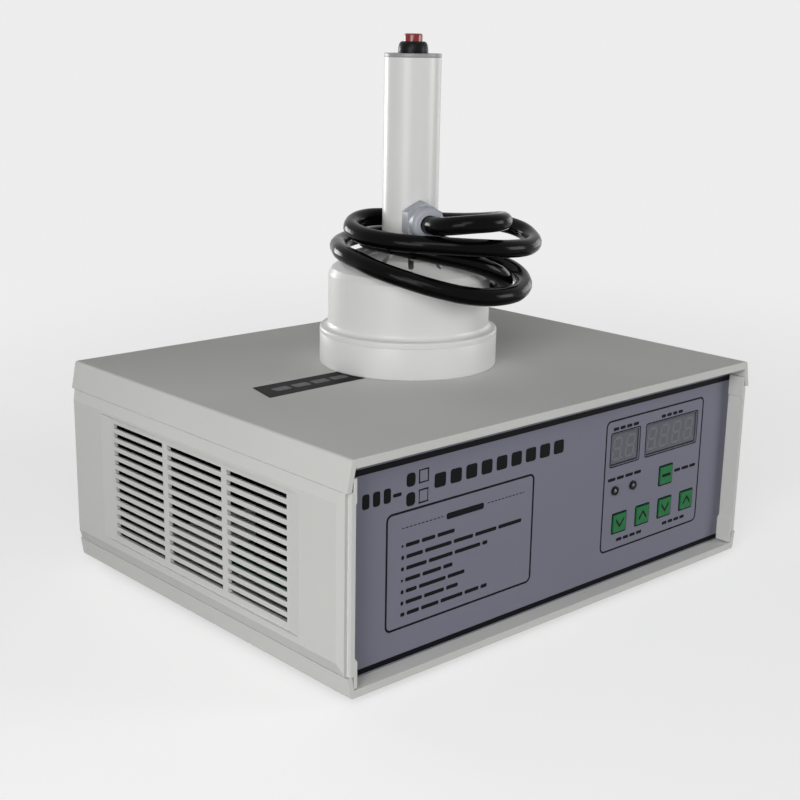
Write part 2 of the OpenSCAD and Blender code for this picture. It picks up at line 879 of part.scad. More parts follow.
// Corner places of the control board
module at_board_corners(y) {
    for (sx = [-1, 1], z = [board_low + board_inset, board_high - board_inset])
        translate([board_x + sx * (board_w / 2 - board_inset), y, under_z + z]) children();
}

module control_board() {
    color(board_tint) difference() {
        block([board_x - board_w / 2, -board_y, under_z + board_low],
              [board_x + board_w / 2, -board_y + board_t, under_z + board_high]);
        at_board_corners(-board_y - cut) rotate([-90, 0, 0])
            cylinder(h = board_t + 2 * cut, r = screw_hole_r);
    }
}

module board_pillars() {
    color(steel_tint) at_board_corners(-board_y) rotate([90, 0, 0]) difference() {
        cylinder(h = board_gap, r = pillar_r);
        translate([0, 0, -cut]) cylinder(h = screw_grip + cut, r = thread_r);
    }
}

module power_board() {
    color(board_tint) difference() {
        block([power_x - power_w / 2, power_y - power_d / 2, power_z],
              [power_x + power_w / 2, power_y + power_d / 2, deck_z]);
        for (p = power_corners)
            translate([p[0], p[1], power_z - cut]) cylinder(h = board_t + 2 * cut, r = screw_hole_r);
    }
}

// Screws of both boards and of the power transistors
module board_screws() {
    color(steel_tint) {
        at_board_corners(-board_y + board_t) rotate([-90, 0, 0])
            screw(screw_r, board_t + screw_grip - screw_short, screw_head_r, screw_head_t);
        for (p = power_corners) translate([p[0], p[1], deck_z])
            screw(screw_r, board_t + screw_grip - screw_short, screw_head_r, screw_head_t);
        for (x = transistors)
            toward_front(x, sink_y - transistor_t, deck_z + transistor_lift + transistor_hole)
                screw(screw_r, transistor_t + screw_grip - screw_short, screw_head_r, screw_head_t);
    }
}

module heat_sink() {
    fin_step = (sink_w - sink_fin_t) / (sink_fins - 1);
    color(steel_tint) difference() {
        translate([sink_x - sink_w / 2, sink_y, deck_z]) linear_extrude(sink_h) {
            square([sink_w, sink_base]);
            for (i = [0:sink_fins - 1]) translate([i * fin_step, 0])
                square([sink_fin_t, sink_base + sink_fin]);
        }
        for (x = transistors)
            toward_back(x, sink_y - cut, deck_z + transistor_lift + transistor_hole)
                cylinder(h = screw_grip + cut, r = thread_r);
    }
}

module power_transistors() {
    color(black_tint) for (x = transistors) difference() {
        union() {
            block([x - transistor_w / 2, sink_y - transistor_t, deck_z + transistor_lift],
                  [x + transistor_w / 2, sink_y, deck_z + transistor_lift + transistor_h]);
            for (i = [-1:1])
                block([x + i * leg_pitch - leg_w / 2, sink_y - transistor_t / 2 - leg_t / 2, deck_z],
                      [x + i * leg_pitch + leg_w / 2, sink_y - transistor_t / 2 + leg_t / 2,
                       deck_z + transistor_lift + cut]);
        }
        toward_back(x, sink_y - transistor_t - cut, deck_z + transistor_lift + transistor_hole)
            cylinder(h = transistor_t + 2 * cut, r = screw_hole_r);
    }
}

// A boxed component standing on the power board
module boxed(b) {
    translate([b[0], b[1], deck_z]) round_plate(b[2], b[3], box_corner, b[4]);
}

module bridge_rectifier() {
    color(black_tint) difference() {
        boxed(rectifier);
        translate([rectifier[0], rectifier[1], deck_z + box_floor])
            cylinder(h = rectifier[4], r = rectifier_hole);
    }
}

module filter_capacitor() {
    color("#c9b26a") boxed(filter_box);
}

module resonant_capacitors() {
    color("#3b4f8f") for (b = resonant_boxes) boxed(b);
}

module filter_choke() {
    color("#a5642f") translate([choke_x, choke_y, deck_z]) rotate_extrude()
        translate([choke_r, choke_h / 2]) {
            square([choke_w, choke_h - 2 * choke_edge], center = true);
            square([choke_w - 2 * choke_edge, choke_h], center = true);
        }
}

module transformer_core() {
    window_w = (core_w - core_leg) / 2 - core_yoke;
    color("#4a4a4c") translate([core_x, core_y, deck_z]) along_depth(core_t) difference() {
        translate([-core_w / 2, 0]) square([core_w, core_h]);
        for (s = [-1, 1]) translate([s * (core_leg + window_w) / 2 - window_w / 2, core_yoke])
            square([window_w, core_h - 2 * core_yoke]);
    }
}

module transformer_winding() {
    bore_w = core_leg + 2 * winding_gap;
    bore_d = core_t + 2 * winding_gap;
    color("#c08a2c") translate([core_x, core_y, deck_z + core_yoke]) difference() {
        round_plate(bore_w + 2 * winding_t, bore_d + 2 * winding_t, winding_corner,
                    core_h - 2 * core_yoke - winding_gap);
        translate([0, 0, -cut]) linear_extrude(core_h) square([bore_w, bore_d], center = true);
    }
}

module fan_frame() {
    half = fan_size / 2;
    color(black_tint) toward_back(fan_x, fan_in, under_z + fan_z) difference() {
        union() {
            difference() {
                translate([-half, -half, 0]) cube([fan_size, fan_size, fan_t]);
                translate([0, 0, -cut]) cylinder(h = fan_t + 2 * cut, r = fan_bore);
            }
            cylinder(h = motor_t, r = fan_hub);
            for (a = [45:90:315]) rotate([0, 0, a])
                translate([fan_hub - cut, -strut_w / 2, 0])
                    cube([fan_bore - fan_hub + 2 * cut, strut_w, motor_t / 2]);
        }
        translate([0, 0, motor_floor]) cylinder(h = motor_t, r = shaft_r + shaft_play);
        for (p = fan_corners) translate([p[0], p[1], -cut])
            cylinder(h = fan_t + 2 * cut, r = fan_screw_r + thread_play);
    }
}

module fan_rotor() {
    low = motor_t + motor_gap;
    high = fan_t - fan_tip_gap;
    color("#2a2a2d") toward_back(fan_x, fan_in, under_z + fan_z) {
        translate([0, 0, motor_floor + motor_gap]) cylinder(h = low, r = shaft_r);
        translate([0, 0, low]) cylinder(h = high - low, r = fan_hub);
        intersection() {
            translate([0, 0, low]) difference() {
                cylinder(h = high - low, r = fan_bore - fan_tip_gap);
                translate([0, 0, -cut]) cylinder(h = fan_t, r = fan_hub - cut);
            }
            for (i = [0:fan_blades - 1]) rotate([0, 0, i * 360 / fan_blades])
                translate([fan_bore / 2, 0, (low + high) / 2]) rotate([blade_pitch, 0, 0])
                    cube([fan_bore, blade_t, 2 * fan_t], center = true);
        }
    }
}

// Flat rings on two diagonal bars, with an eye at each fan screw
module fan_guard() {
    ring_step = (fan_bore - fan_hub / 2) / guard_rings;
    color(steel_tint) toward_back(fan_x, panel_y, under_z + fan_z) linear_extrude(guard_t) difference() {
        union() {
            for (i = [1:guard_rings]) difference() {
                circle(fan_hub / 2 + i * ring_step);
                circle(fan_hub / 2 + i * ring_step - guard_w);
            }
            circle(fan_hub / 2);
            for (a = [45, 135]) rotate([0, 0, a])
                square([2 * fan_hole * sqrt(2), 2 * guard_w], center = true);
            for (p = fan_corners) translate(p) circle(2 * fan_screw_hole);
        }
        for (p = fan_corners) translate(p) circle(fan_screw_hole);
    }
}

// Screws of the fan and of the mains inlet
module rear_screws() {
    color(steel_tint) {
        toward_back(fan_x, panel_y + guard_t, under_z + fan_z) for (p = fan_corners) translate(p)
            screw(fan_screw_r, guard_t + panel_t + fan_grip, fan_head_r, screw_head_t);
        toward_back(inlet_x, panel_y + inlet_flange_t, under_z + inlet_z) for (s = [-1, 1])
            translate([s * inlet_screw_x, 0, 0])
                screw(screw_r, inlet_flange_t + panel_t + screw_out, screw_head_r, screw_head_t);
    }
}

module inlet_pin_shapes() {
    tip = inlet_flange_t - pin_low;
    base = inlet_flange_t - inlet_deep - inlet_back - pin_tail;
    for (p = pins) translate([p[0] - pin_w / 2, -p[1] - pin_h / 2, base]) cube([pin_w, pin_h, tip - base]);
}

module mains_inlet() {
    color(black_tint) toward_back(inlet_x, panel_y, under_z + inlet_z) difference() {
        union() {
            round_plate(inlet_flange_w, inlet_flange_h, inlet_corner, inlet_flange_t);
            translate([0, 0, inlet_flange_t - inlet_deep - inlet_back])
                round_plate(inlet_w, inlet_h, corner_r, inlet_deep + inlet_back);
        }
        translate([0, 0, inlet_flange_t - inlet_deep])
            round_plate(inlet_w - 2 * inlet_wall, inlet_h - 2 * inlet_wall, inlet_corner, inlet_deep + cut);
        inlet_pin_shapes();
        for (s = [-1, 1]) translate([s * inlet_screw_x, 0, -cut])
            cylinder(h = inlet_flange_t + 2 * cut, r = screw_hole_r);
    }
}

module inlet_pins() {
    color("#c9a850") toward_back(inlet_x, panel_y, under_z + inlet_z) inlet_pin_shapes();
}

module switch_housing() {
    room_w = switch_w - 2 * switch_side;
    room_h = switch_h - 2 * switch_end;
    color(black_tint) toward_back(inlet_x, panel_y, under_z + switch_z) difference() {
        union() {
            round_plate(switch_w + 2 * switch_flange, switch_h + 2 * switch_flange, corner_r,
                        switch_flange_t);
            translate([0, 0, -switch_deep]) round_plate(switch_w, switch_h, corner_r, switch_deep + cut);
        }
        translate([0, 0, -switch_room])
            linear_extrude(switch_room + switch_flange_t + cut) square([room_w, room_h], center = true);
        translate([0, 0, -pivot_in]) rotate([0, 90, 0])
            cylinder(h = switch_w - 2 * pivot_end, r = pivot_r + pivot_play, center = true);
    }
}

// The rocker lies on one side at rest and swings to the other
module switch_rocker() {
    wide = switch_w - 2 * switch_side - 2 * rocker_play;
    pivot = [inlet_x, panel_y - pivot_in, under_z + switch_z];
    color("#8f1d1d") translate(pivot) rotate([-rocker_tilt, 0, 0]) {
        rotate([90, 0, 90]) linear_extrude(wide, center = true) polygon([
            [-rocker_tail, -rocker_tail_half], [rocker_side, -rocker_half], [rocker_end, -rocker_half],
            [rocker_face, 0], [rocker_end, rocker_half], [rocker_side, rocker_half],
            [-rocker_tail, rocker_tail_half]]);
        rotate([0, 90, 0]) cylinder(h = switch_w - 2 * pivot_end - 2 * fit_gap, r = pivot_r, center = true);
    }
}

module fuse_holder() {
    color(black_tint) toward_back(fuse_x, panel_y, under_z + inlet_z) difference() {
        union() {
            cylinder(h = fuse_flange_t, r = fuse_flange_r);
            translate([0, 0, -fuse_barrel]) cylinder(h = fuse_barrel + cut, r = fuse_barrel_r);
        }
        translate([0, 0, fuse_floor - fuse_barrel])
            cylinder(h = fuse_barrel + fuse_flange_t, r = fuse_bore);
    }
}

module fuse_cap() {
    stem = fuse_barrel - fuse_floor - fuse_len + fuse_flange_t;
    seat = panel_y + fuse_flange_t + fuse_cap_gap;
    color(black_tint) toward_back(fuse_x, seat, under_z + inlet_z) difference() {
        union() {
            cylinder(h = fuse_cap_t, r = fuse_cap_r);
            translate([0, 0, -stem]) cylinder(h = stem + cut, r = fuse_bore - fuse_cap_gap);
        }
        translate([0, 0, fuse_cap_t])
            cube([2 * fuse_cap_r + cut, fuse_cap_slot, fuse_cap_slot * 2], center = true);
    }
}

module fuse_link() {
    color(nylon_tint) toward_back(fuse_x, panel_y - fuse_barrel + fuse_floor, under_z + inlet_z)
        cylinder(h = fuse_len, r = fuse_r);
}

// The fixed half of a cable gland: thread through the wall, hexagon and neck
module gland_body_shape(inside) {
    translate([0, 0, -inside]) cylinder(h = inside + gland_neck, r = gland_r);
    hexagon(gland_af, gland_hex);
}

// The clamping half: a hexagon that runs out in a dome, with a mouth for the lead
module gland_dome_shape() {
    low = gland_hex + gland_gap;
    mouth = cable_d / 2 + gland_mouth_play;
    round_r = gland_dome_r - gland_tip_r;
    difference() {
        union() {
            translate([0, 0, low]) hexagon(gland_af, gland_neck - low);
            rotate_extrude() polygon(concat(
                [[0, low], [gland_dome_r, low], [gland_dome_r, gland_tip - round_r - gland_taper]],
                arc([gland_dome_r - round_r, gland_tip - round_r], round_r, 0, 90, 6),
                [[0, gland_tip]]));
        }
        translate([0, 0, low - cut])
            cylinder(h = gland_neck + gland_gap - low + cut, r = gland_r + gland_play);
        translate([0, 0, gland_tip - gland_mouth]) cylinder(h = gland_mouth + cut, r = mouth);
    }
}

module rear_gland_body() {
    color(nylon_tint) toward_back(gland_x, panel_y, under_z + gland_z) gland_body_shape(gland_in);
}

module rear_gland_dome() {
    color(nylon_tint) toward_back(gland_x, panel_y, under_z + gland_z) gland_dome_shape();
}

module rear_gland_nut() {
    color(nylon_tint) toward_front(gland_x, panel_in, under_z + gland_z) difference() {
        hexagon(gland_af, locknut_t);
        translate([0, 0, -cut]) cylinder(h = locknut_t + 2 * cut, r = gland_r + thread_play);
    }
}

// Pieces of the sealing head stand on the top of the case
module on_head() {
    translate([head_x, head_y, roof_z]) children();
}

module head_cap() {
    color(head_tint) on_head() rotate_extrude() polygon([
        [0, 0], [cap_r - cap_edge, 0], [cap_r, cap_edge], [cap_r, cap_h - cap_seam],
        [cap_r - cap_seam, cap_h], [cap_in, cap_h],
        [cap_in, face_t], [0, face_t]]);
}

// Height of the dome's outer face at a distance from the axis: a cone that rounds off to the handle
function dome_z(r) = r > cone_r
    ? shoulder_z + cone_share * dome_rise * (body_r - r) / (body_r - cone_r)
    : shoulder_z + dome_rise * (1 - (1 - cone_share) * pow((r - tube_r) / (cone_r - tube_r), 2));

module head_body() {
    bore = tube_r + fit_gap;
    socket = bore + socket_wall;
    roof_r = concat([body_r - shoulder_r], [for (i = [0:4]) cone_r - (cone_r - bore) * i / 4]);
    ceiling_r = concat([for (i = [0:3]) socket + (cone_r - socket) * i / 3], [body_in]);
    roof = [for (r = roof_r) [r, dome_z(r)]];
    ceiling = [for (r = ceiling_r) [r, dome_z(r) - dome_t]];
    color(head_tint) on_head() difference() {
        rotate_extrude() polygon(concat(
            [[body_in, spigot_z], [spigot_r, spigot_z], [spigot_r, cap_h], [cap_r, cap_h]],
            arc([cap_r - flange_round, cap_h + flange_t], flange_round, 0, flange_sweep, 4),
            arc([body_r + cove_r, cap_h + flange_t + flange_round + cove_r], cove_r, 270, 180, 4),
            [[body_r, shoulder_z - shoulder_r]],
            roof,
            [[bore, socket_z], [bore - socket_lip, socket_z], [bore - socket_lip, socket_z - socket_lip],
             [socket, socket_z - socket_lip]],
            ceiling));
        for (i = [0:dome_slots - 1]) rotate([0, 0, slot_turn + i * 360 / dome_slots])
            translate([0, 0, shoulder_z]) linear_extrude(2 * dome_rise) {
                translate([dome_slot_in, -dome_slot_w / 2])
                    square([dome_slot_out - dome_slot_in, dome_slot_w]);
                for (r = [dome_slot_in, dome_slot_out]) translate([r, 0]) circle(dome_slot_w / 2);
            }
    }
}

// Points of the flat spiral's edge, at a distance from the wire's middle line
function spiral(edge) = [for (a = [0:coil_step:360 * coil_turns])
    (coil_in + coil_pitch * a / 360 + edge) * [cos(a), sin(a)]];

module induction_coil() {
    outer = spiral(coil_wire / 2);
    inner = spiral(-coil_wire / 2);
    color("#b5713a") on_head() translate([0, 0, face_t]) linear_extrude(coil_t)
        polygon(concat(outer, [for (i = [len(inner) - 1:-1:0]) inner[i]]));
}

module coil_carrier() {
    color(nylon_tint) on_head() translate([0, 0, carrier_z]) difference() {
        cylinder(h = carrier_t, r = cap_in - fit_gap);
        translate([0, 0, -cut]) cylinder(h = carrier_t + 2 * cut, r = carrier_hole);
    }
}

module ferrite_bars() {
    color("#4a4a4c") on_head() for (i = [0:bars - 1]) rotate([0, 0, i * 360 / bars])
        translate([bar_in, -bar_w / 2, spigot_z]) cube([bar_len, bar_w, bar_h]);
}

// Local Z along the handle's gland, from the handle's axis
module along_gland() {
    on_head() translate([0, 0, handle_gland_z]) rotate([0, 90, handle_gland_turn]) children();
}

module handle_tube() {
    color(head_tint) difference() {
        on_head() translate([0, 0, socket_z]) difference() {
            cylinder(h = tube_top - socket_z, r = tube_r);
            translate([0, 0, -cut]) cylinder(h = tube_top + 2 * cut, r = tube_r - tube_wall);
        }
        along_gland() cylinder(h = 2 * tube_r, r = gland_r + thread_play);
    }
}

module handle_end_cap() {
    plug = tube_r - tube_wall - fit_gap;
    color("#b4b7b8") on_head() translate([0, 0, tube_top]) difference() {
        union() {
            cylinder(h = end_cap_t, r = tube_r);
            translate([0, 0, -spigot_len]) difference() {
                cylinder(h = spigot_len + end_cap_t / 2, r = plug);
                translate([0, 0, -cut]) cylinder(h = spigot_len + cut, r = plug - spigot_wall);
            }
        }
        translate([0, 0, -cut]) cylinder(h = end_cap_t + 2 * cut, r = switch_thread + gland_play);
    }
}

// The switch: threaded body through the end cap, a boot on top and two terminals below
module trigger_switch() {
    shoulder = [for (a = [0:boot_step:90]) [
        boot_top_r + (boot_r - boot_top_r) * cos(a), boot_foot + (boot_h - boot_foot) * sin(a)]];
    color(black_tint) on_head() translate([0, 0, tube_top + end_cap_t]) difference() {
        union() {
            rotate_extrude() polygon(concat(
                [[0, -switch_reach], [switch_thread, -switch_reach], [switch_thread, 0], [boot_r, 0]],
                shoulder, [[0, boot_h]]));
            for (s = [-1, 1]) translate([s * switch_thread / 2, 0, -switch_reach - terminal_len / 2])
                cube([terminal_t, terminal_w, terminal_len + cut], center = true);
        }
        translate([0, 0, boot_h - button_len + button_proud - button_travel - button_spare])
            cylinder(h = button_len + button_travel + button_spare, r = button_r + button_play);
    }
}

module switch_nut() {
    color(steel_tint) on_head() translate([0, 0, tube_top - switch_nut_t]) difference() {
        hexagon(switch_nut_af, switch_nut_t);
        translate([0, 0, -cut]) cylinder(h = switch_nut_t + 2 * cut, r = switch_thread + thread_play);
    }
}

module trigger_button() {
    top = tube_top + end_cap_t + boot_h + button_proud;
    color("#a3161b") on_head() rotate_extrude() polygon([
        [0, top - button_len], [button_r, top - button_len], [button_r, top - button_edge],
        [button_r - button_edge, top], [0, top]]);
}

module gland_body() {
    color(nylon_tint) along_gland() translate([0, 0, gland_seat]) gland_body_shape(tube_wall + thread_in);
}

module gland_dome() {
    color(nylon_tint) along_gland() translate([0, 0, gland_seat]) gland_dome_shape();
}

// The lead's route from the handle's gland, around the handle and into the rear panel's gland
function laid(p) = [
    head_x + p[0] * cos(lay_turn) + p[1] * sin(lay_turn),
    head_y + p[0] * sin(lay_turn) - p[1] * cos(lay_turn),
    roof_z + p[2]];
seat_out = gland_tip - gland_mouth;
handle_seat = gland_seat + seat_out;
lead_start = [for (d = [handle_seat, handle_seat + gland_mouth]) [
    head_x + d * cos(handle_gland_turn), head_y + d * sin(handle_gland_turn), roof_z + handle_gland_z]];
lead_end = [for (d = [gland_mouth, 0]) [gland_x, panel_y + seat_out + d, under_z + gland_z]];
lead_drop = [for (p = lead_tail) [gland_x + p[0], panel_y + p[1], roof_z + p[2]]];
route = concat(lead_start, [for (p = lead_turns) laid(p)], lead_drop, lead_end);

function unit(v) = v / norm(v);
function heading(p, i) = unit(p[min(i + 1, len(p) - 1)] - p[max(i - 1, 0)]);
function carried(n, t) = unit(n - (n * t) * t);
function normals(p, i, n) = i == len(p) ? [] :
    let (m = carried(n, heading(p, i))) concat([m], normals(p, i + 1, m));
function ring(c, t, n, r, sides) = let (b = cross(t, n))
    [for (k = [0:sides - 1]) c + r * (cos(360 * k / sides) * n + sin(360 * k / sides) * b)];

module swept_tube(p, r, sides) {
    turned = normals(p, 0, [0, 0, 1]);
    last = len(p) - 1;
    points = [for (i = [0:last]) each ring(p[i], heading(p, i), turned[i], r, sides)];
    walls = [for (i = [0:last - 1], k = [0:sides - 1]) let (n = (k + 1) % sides)
        [i * sides + k, i * sides + n, (i + 1) * sides + n, (i + 1) * sides + k]];
    polyhedron(points, concat([[for (k = [sides - 1:-1:0]) k]], walls,
        [[for (k = [0:sides - 1]) last * sides + k]]));
}

module head_cable() {
    color(black_tint) swept_tube(route, cable_d / 2, cable_sides);
}

top_cover();
base_shell();
side_panel_left();
side_panel_right();
front_panel();
front_film();
rear_panel();
rubber_feet();
foot_screws();
case_screws();
time_display();
count_display();
indicator_lamps();
lamp_bezels();
key_reset();
key_time_down();
key_time_up();
key_count_down();
key_count_up();
tact_switches();
control_board();
board_pillars();
power_board();
board_screws();
heat_sink();
power_transistors();
bridge_rectifier();
filter_capacitor();
resonant_capacitors();
filter_choke();
transformer_core();
transformer_winding();
fan_frame();
fan_rotor();
fan_guard();
rear_screws();
mains_inlet();
inlet_pins();
switch_housing();
switch_rocker();
fuse_holder();
fuse_cap();
fuse_link();
rear_gland_body();
rear_gland_dome();
rear_gland_nut();
head_cap();
head_body();
induction_coil();
coil_carrier();
ferrite_bars();
handle_tube();
handle_end_cap();
trigger_switch();
switch_nut();
trigger_button();
gland_body();
gland_dome();
head_cable();
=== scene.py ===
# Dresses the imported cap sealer: lead, film print, displays, key signs, roof label, rear fittings
# and finishes. Pieces are measured in millimetres, the studio and the grain's depth in metres.
import bpy
import math
from mathutils import Matrix, Vector


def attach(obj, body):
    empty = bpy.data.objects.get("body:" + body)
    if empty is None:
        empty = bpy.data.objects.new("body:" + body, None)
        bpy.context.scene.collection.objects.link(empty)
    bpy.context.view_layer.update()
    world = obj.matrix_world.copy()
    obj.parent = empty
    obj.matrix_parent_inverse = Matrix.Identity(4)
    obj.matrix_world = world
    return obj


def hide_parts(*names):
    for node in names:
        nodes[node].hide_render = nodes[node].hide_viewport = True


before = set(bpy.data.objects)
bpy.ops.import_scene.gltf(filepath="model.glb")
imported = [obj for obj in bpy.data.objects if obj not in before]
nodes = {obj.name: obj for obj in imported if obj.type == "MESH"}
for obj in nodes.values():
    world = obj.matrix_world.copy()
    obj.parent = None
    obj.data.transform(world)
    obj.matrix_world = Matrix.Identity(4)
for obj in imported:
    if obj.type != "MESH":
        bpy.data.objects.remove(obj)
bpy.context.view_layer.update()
scene = bpy.context.scene
scene.view_settings.view_transform = "Standard"
mm = 0.001
print("frame loaded:", len(nodes), "nodes")


# camera at the photo's angle
cameraView = {"lens": 61.87, "sensor": 36.0, "clipStart": 0.01, "place": (-0.5906, -0.6265, 0.3388),
              "azimuth": -42.604, "elevation": 14.949, "roll": 0.993}


def placeCamera(s):
    azimuth, elevation, roll = (math.radians(s[key]) for key in ("azimuth", "elevation", "roll"))
    back = Vector((math.sin(azimuth) * math.cos(elevation),
                   -math.cos(azimuth) * math.cos(elevation), math.sin(elevation)))
    right = Vector((0, 0, 1)).cross(back).normalized()
    up = back.cross(right)
    turnedRight = right * math.cos(roll) + up * math.sin(roll)
    turnedUp = up * math.cos(roll) - right * math.sin(roll)
    bpy.ops.object.camera_add()
    camera = bpy.context.object
    camera.name = "photoCamera"
    camera.data.lens = s["lens"]
    camera.data.sensor_width = s["sensor"]
    camera.data.clip_start = s["clipStart"]
    turn = Matrix((turnedRight, turnedUp, back)).transposed().to_4x4()
    camera.matrix_world = Matrix.Translation(s["place"]) @ turn
    scene.camera = camera


# soft boxes round the object
lampSettings = {
    "aim": (0, 0, 0.14),
    "boxes": {
        "sideBox": {"place": (-1.35, -0.6, 0.38), "size": 0.7, "watts": 9.7},
        "frontBox": {"place": (1.15, -1.2, 0.42), "size": 0.7, "watts": 11.6},
        "topBox": {"place": (-0.75, -0.65, 0.75), "size": 0.5, "watts": 3.6},
        "rightBox": {"place": (1.6, 0.1, 0.25), "size": 0.7, "watts": 3},
        "rearBox": {"place": (-0.2, 1.8, 0.25), "size": 0.7, "watts": 17},
    },
}


def placeLamps(s):
    for name, box in s["boxes"].items():
        bpy.ops.object.light_add(type="AREA", location=box["place"])
        lamp = bpy.context.object
        lamp.name = name
        lamp.data.size = box["size"]
        lamp.data.energy = box["watts"]
        way = Vector(s["aim"]) - Vector(box["place"])
        lamp.rotation_euler = way.to_track_quat("-Z", "Y").to_euler()


# node steps shared by the studio and the finishes
def blankFinish(name):
    finish = bpy.data.materials.new(name)
    finish.use_nodes = True
    return finish, finish.node_tree, finish.node_tree.nodes["Principled BSDF"]


def feed(tree, value, target):
    if isinstance(value, bpy.types.NodeSocket):
        tree.links.new(value, target)
    else:
        target.default_value = value


def addMath(tree, operation, first, second):
    step = tree.nodes.new("ShaderNodeMath")
    step.operation = operation
    feed(tree, first, step.inputs[0])
    feed(tree, second, step.inputs[1])
    return step.outputs[0]


def addRange(tree, source, low, high, fromLow=0.0, fromHigh=1.0, kind="LINEAR"):
    spread = tree.nodes.new("ShaderNodeMapRange")
    spread.interpolation_type = kind
    spread.inputs["From Min"].default_value = fromLow
    spread.inputs["From Max"].default_value = fromHigh
    spread.inputs["To Min"].default_value = low
    spread.inputs["To Max"].default_value = high
    tree.links.new(source, spread.inputs["Value"])
    return spread.outputs["Result"]


def addSeen(tree, rays):
    path = tree.nodes.new("ShaderNodeLightPath")
    seen = path.outputs[rays[0]]
    for ray in rays[1:]:
        seen = addMath(tree, "MAXIMUM", seen, path.outputs[ray])
    return seen


# pale studio: sky and floor are bright to the eye and in reflections, and light the object little
studioSettings = {"skyLight": 0.05, "skyGlow": 0.85, "floorSize": 60.0, "floorTone": 0.5,
                  "floorGlow": 0.56, "floorRough": 0.9, "floorSpecular": 0.1,
                  "fadeFrom": 0.3, "fadeTo": 1.3}


def lightSky(s):
    world = bpy.data.worlds.new("studioWorld")
    scene.world = world
    world.use_nodes = True
    tree = world.node_tree
    light = tree.nodes["Background"]
    light.inputs["Color"].default_value = (1, 1, 1, 1)
    seen = addSeen(tree, ("Is Camera Ray", "Is Glossy Ray", "Is Transmission Ray"))
    tree.links.new(addRange(tree, seen, s["skyLight"], s["skyGlow"]), light.inputs["Strength"])


def makePaper(s):
    paper, tree, shader = blankFinish("palePaper")
    shader.inputs["Base Color"].default_value = [s["floorTone"]] * 3 + [1]
    shader.inputs["Roughness"].default_value = s["floorRough"]
    shader.inputs["Specular IOR Level"].default_value = s["floorSpecular"]
    shader.inputs["Emission Color"].default_value = (1, 1, 1, 1)
    seen = addSeen(tree, ("Is Camera Ray", "Is Glossy Ray"))
    nearGlow = addMath(tree, "MULTIPLY", seen, s["floorGlow"])
    tree.links.new(nearGlow, shader.inputs["Emission Strength"])
    # far from the object the paper runs out into the sky's own tone
    far = tree.nodes.new("ShaderNodeEmission")
    tree.links.new(addMath(tree, "MULTIPLY", seen, s["skyGlow"]), far.inputs["Strength"])
    place = tree.nodes.new("ShaderNodeTexCoord")
    distance = tree.nodes.new("ShaderNodeVectorMath")
    distance.operation = "LENGTH"
    tree.links.new(place.outputs["Object"], distance.inputs[0])
    fade = addRange(tree, distance.outputs["Value"], 0, 1, s["fadeFrom"], s["fadeTo"], "SMOOTHSTEP")
    both = tree.nodes.new("ShaderNodeMixShader")
    tree.links.new(fade, both.inputs["Fac"])
    tree.links.new(shader.outputs["BSDF"], both.inputs[1])
    tree.links.new(far.outputs["Emission"], both.inputs[2])
    tree.links.new(both.outputs["Shader"], tree.nodes["Material Output"].inputs["Surface"])
    return paper


def layFloor(s):
    bpy.ops.object.select_all(action="DESELECT")
    bpy.ops.mesh.primitive_plane_add(size=s["floorSize"], location=(0, 0, 0))
    floor = bpy.context.object
    floor.name = "paleFloor"
    floor.data.materials.append(makePaper(s))


placeCamera(cameraView)
placeLamps(lampSettings)
lightSky(studioSettings)
layFloor(studioSettings)
print("camera, lamps and floor placed")


# finishes
def tone(hexText):
    # from the usual screen curve to linear light
    channels = [int(hexText[i:i + 2], 16) / 255 for i in (1, 3, 5)]
    return [c / 12.92 if c <= 0.04045 else ((c + 0.055) / 1.055) ** 2.4 for c in channels] + [1.0]


def addNoise(tree, scale, detail, stretch=(1, 1, 1)):
    place = tree.nodes.new("ShaderNodeTexCoord")
    mapping = tree.nodes.new("ShaderNodeMapping")
    mapping.inputs["Scale"].default_value = stretch
    noise = tree.nodes.new("ShaderNodeTexNoise")
    noise.inputs["Scale"].default_value = scale
    noise.inputs["Detail"].default_value = detail
    tree.links.new(place.outputs["Object"], mapping.inputs["Vector"])
    tree.links.new(mapping.outputs["Vector"], noise.inputs["Vector"])
    return noise.outputs["Fac"]


def addBlend(tree, factor, first, second):
    blend = tree.nodes.new("ShaderNodeMix")
    blend.data_type = "RGBA"
    tree.links.new(factor, blend.inputs["Factor"])
    feed(tree, first, blend.inputs["A"])
    feed(tree, second, blend.inputs["B"])
    return blend.outputs["Result"]


def addGrain(tree, shader, scale, depth, detail=4, stretch=(1, 1, 1), strength=0.6):
    bump = tree.nodes.new("ShaderNodeBump")
    bump.inputs["Strength"].default_value = strength
    bump.inputs["Distance"].default_value = depth
    tree.links.new(addNoise(tree, scale, detail, stretch), bump.inputs["Height"])
    tree.links.new(bump.outputs["Normal"], shader.inputs["Normal"])


# painted shade: whatever lies in a box round the inside is coloured near-black, so the slots look
# evenly dark
def addPaintedShadeInside(tree, colour, s):
    place = tree.nodes.new("ShaderNodeTexCoord")
    vector = place.outputs["Object"]
    steps = (("SUBTRACT", s["centre"]), ("ABSOLUTE", None), ("SUBTRACT", s["half"]))
    for operation, amount in steps:
        step = tree.nodes.new("ShaderNodeVectorMath")
        step.operation = operation
        tree.links.new(vector, step.inputs[0])
        if amount:
            step.inputs[1].default_value = [c * mm for c in amount]
        vector = step.outputs["Vector"]
    split = tree.nodes.new("ShaderNodeSeparateXYZ")
    tree.links.new(vector, split.inputs["Vector"])
    furthest = split.outputs["X"]
    for axis in ("Y", "Z"):
        furthest = addMath(tree, "MAXIMUM", furthest, split.outputs[axis])
    outer = addRange(tree, furthest, 0, 1, -s["edge"] * mm, s["edge"] * mm)
    return addBlend(tree, outer, tone(s["tint"]), colour)


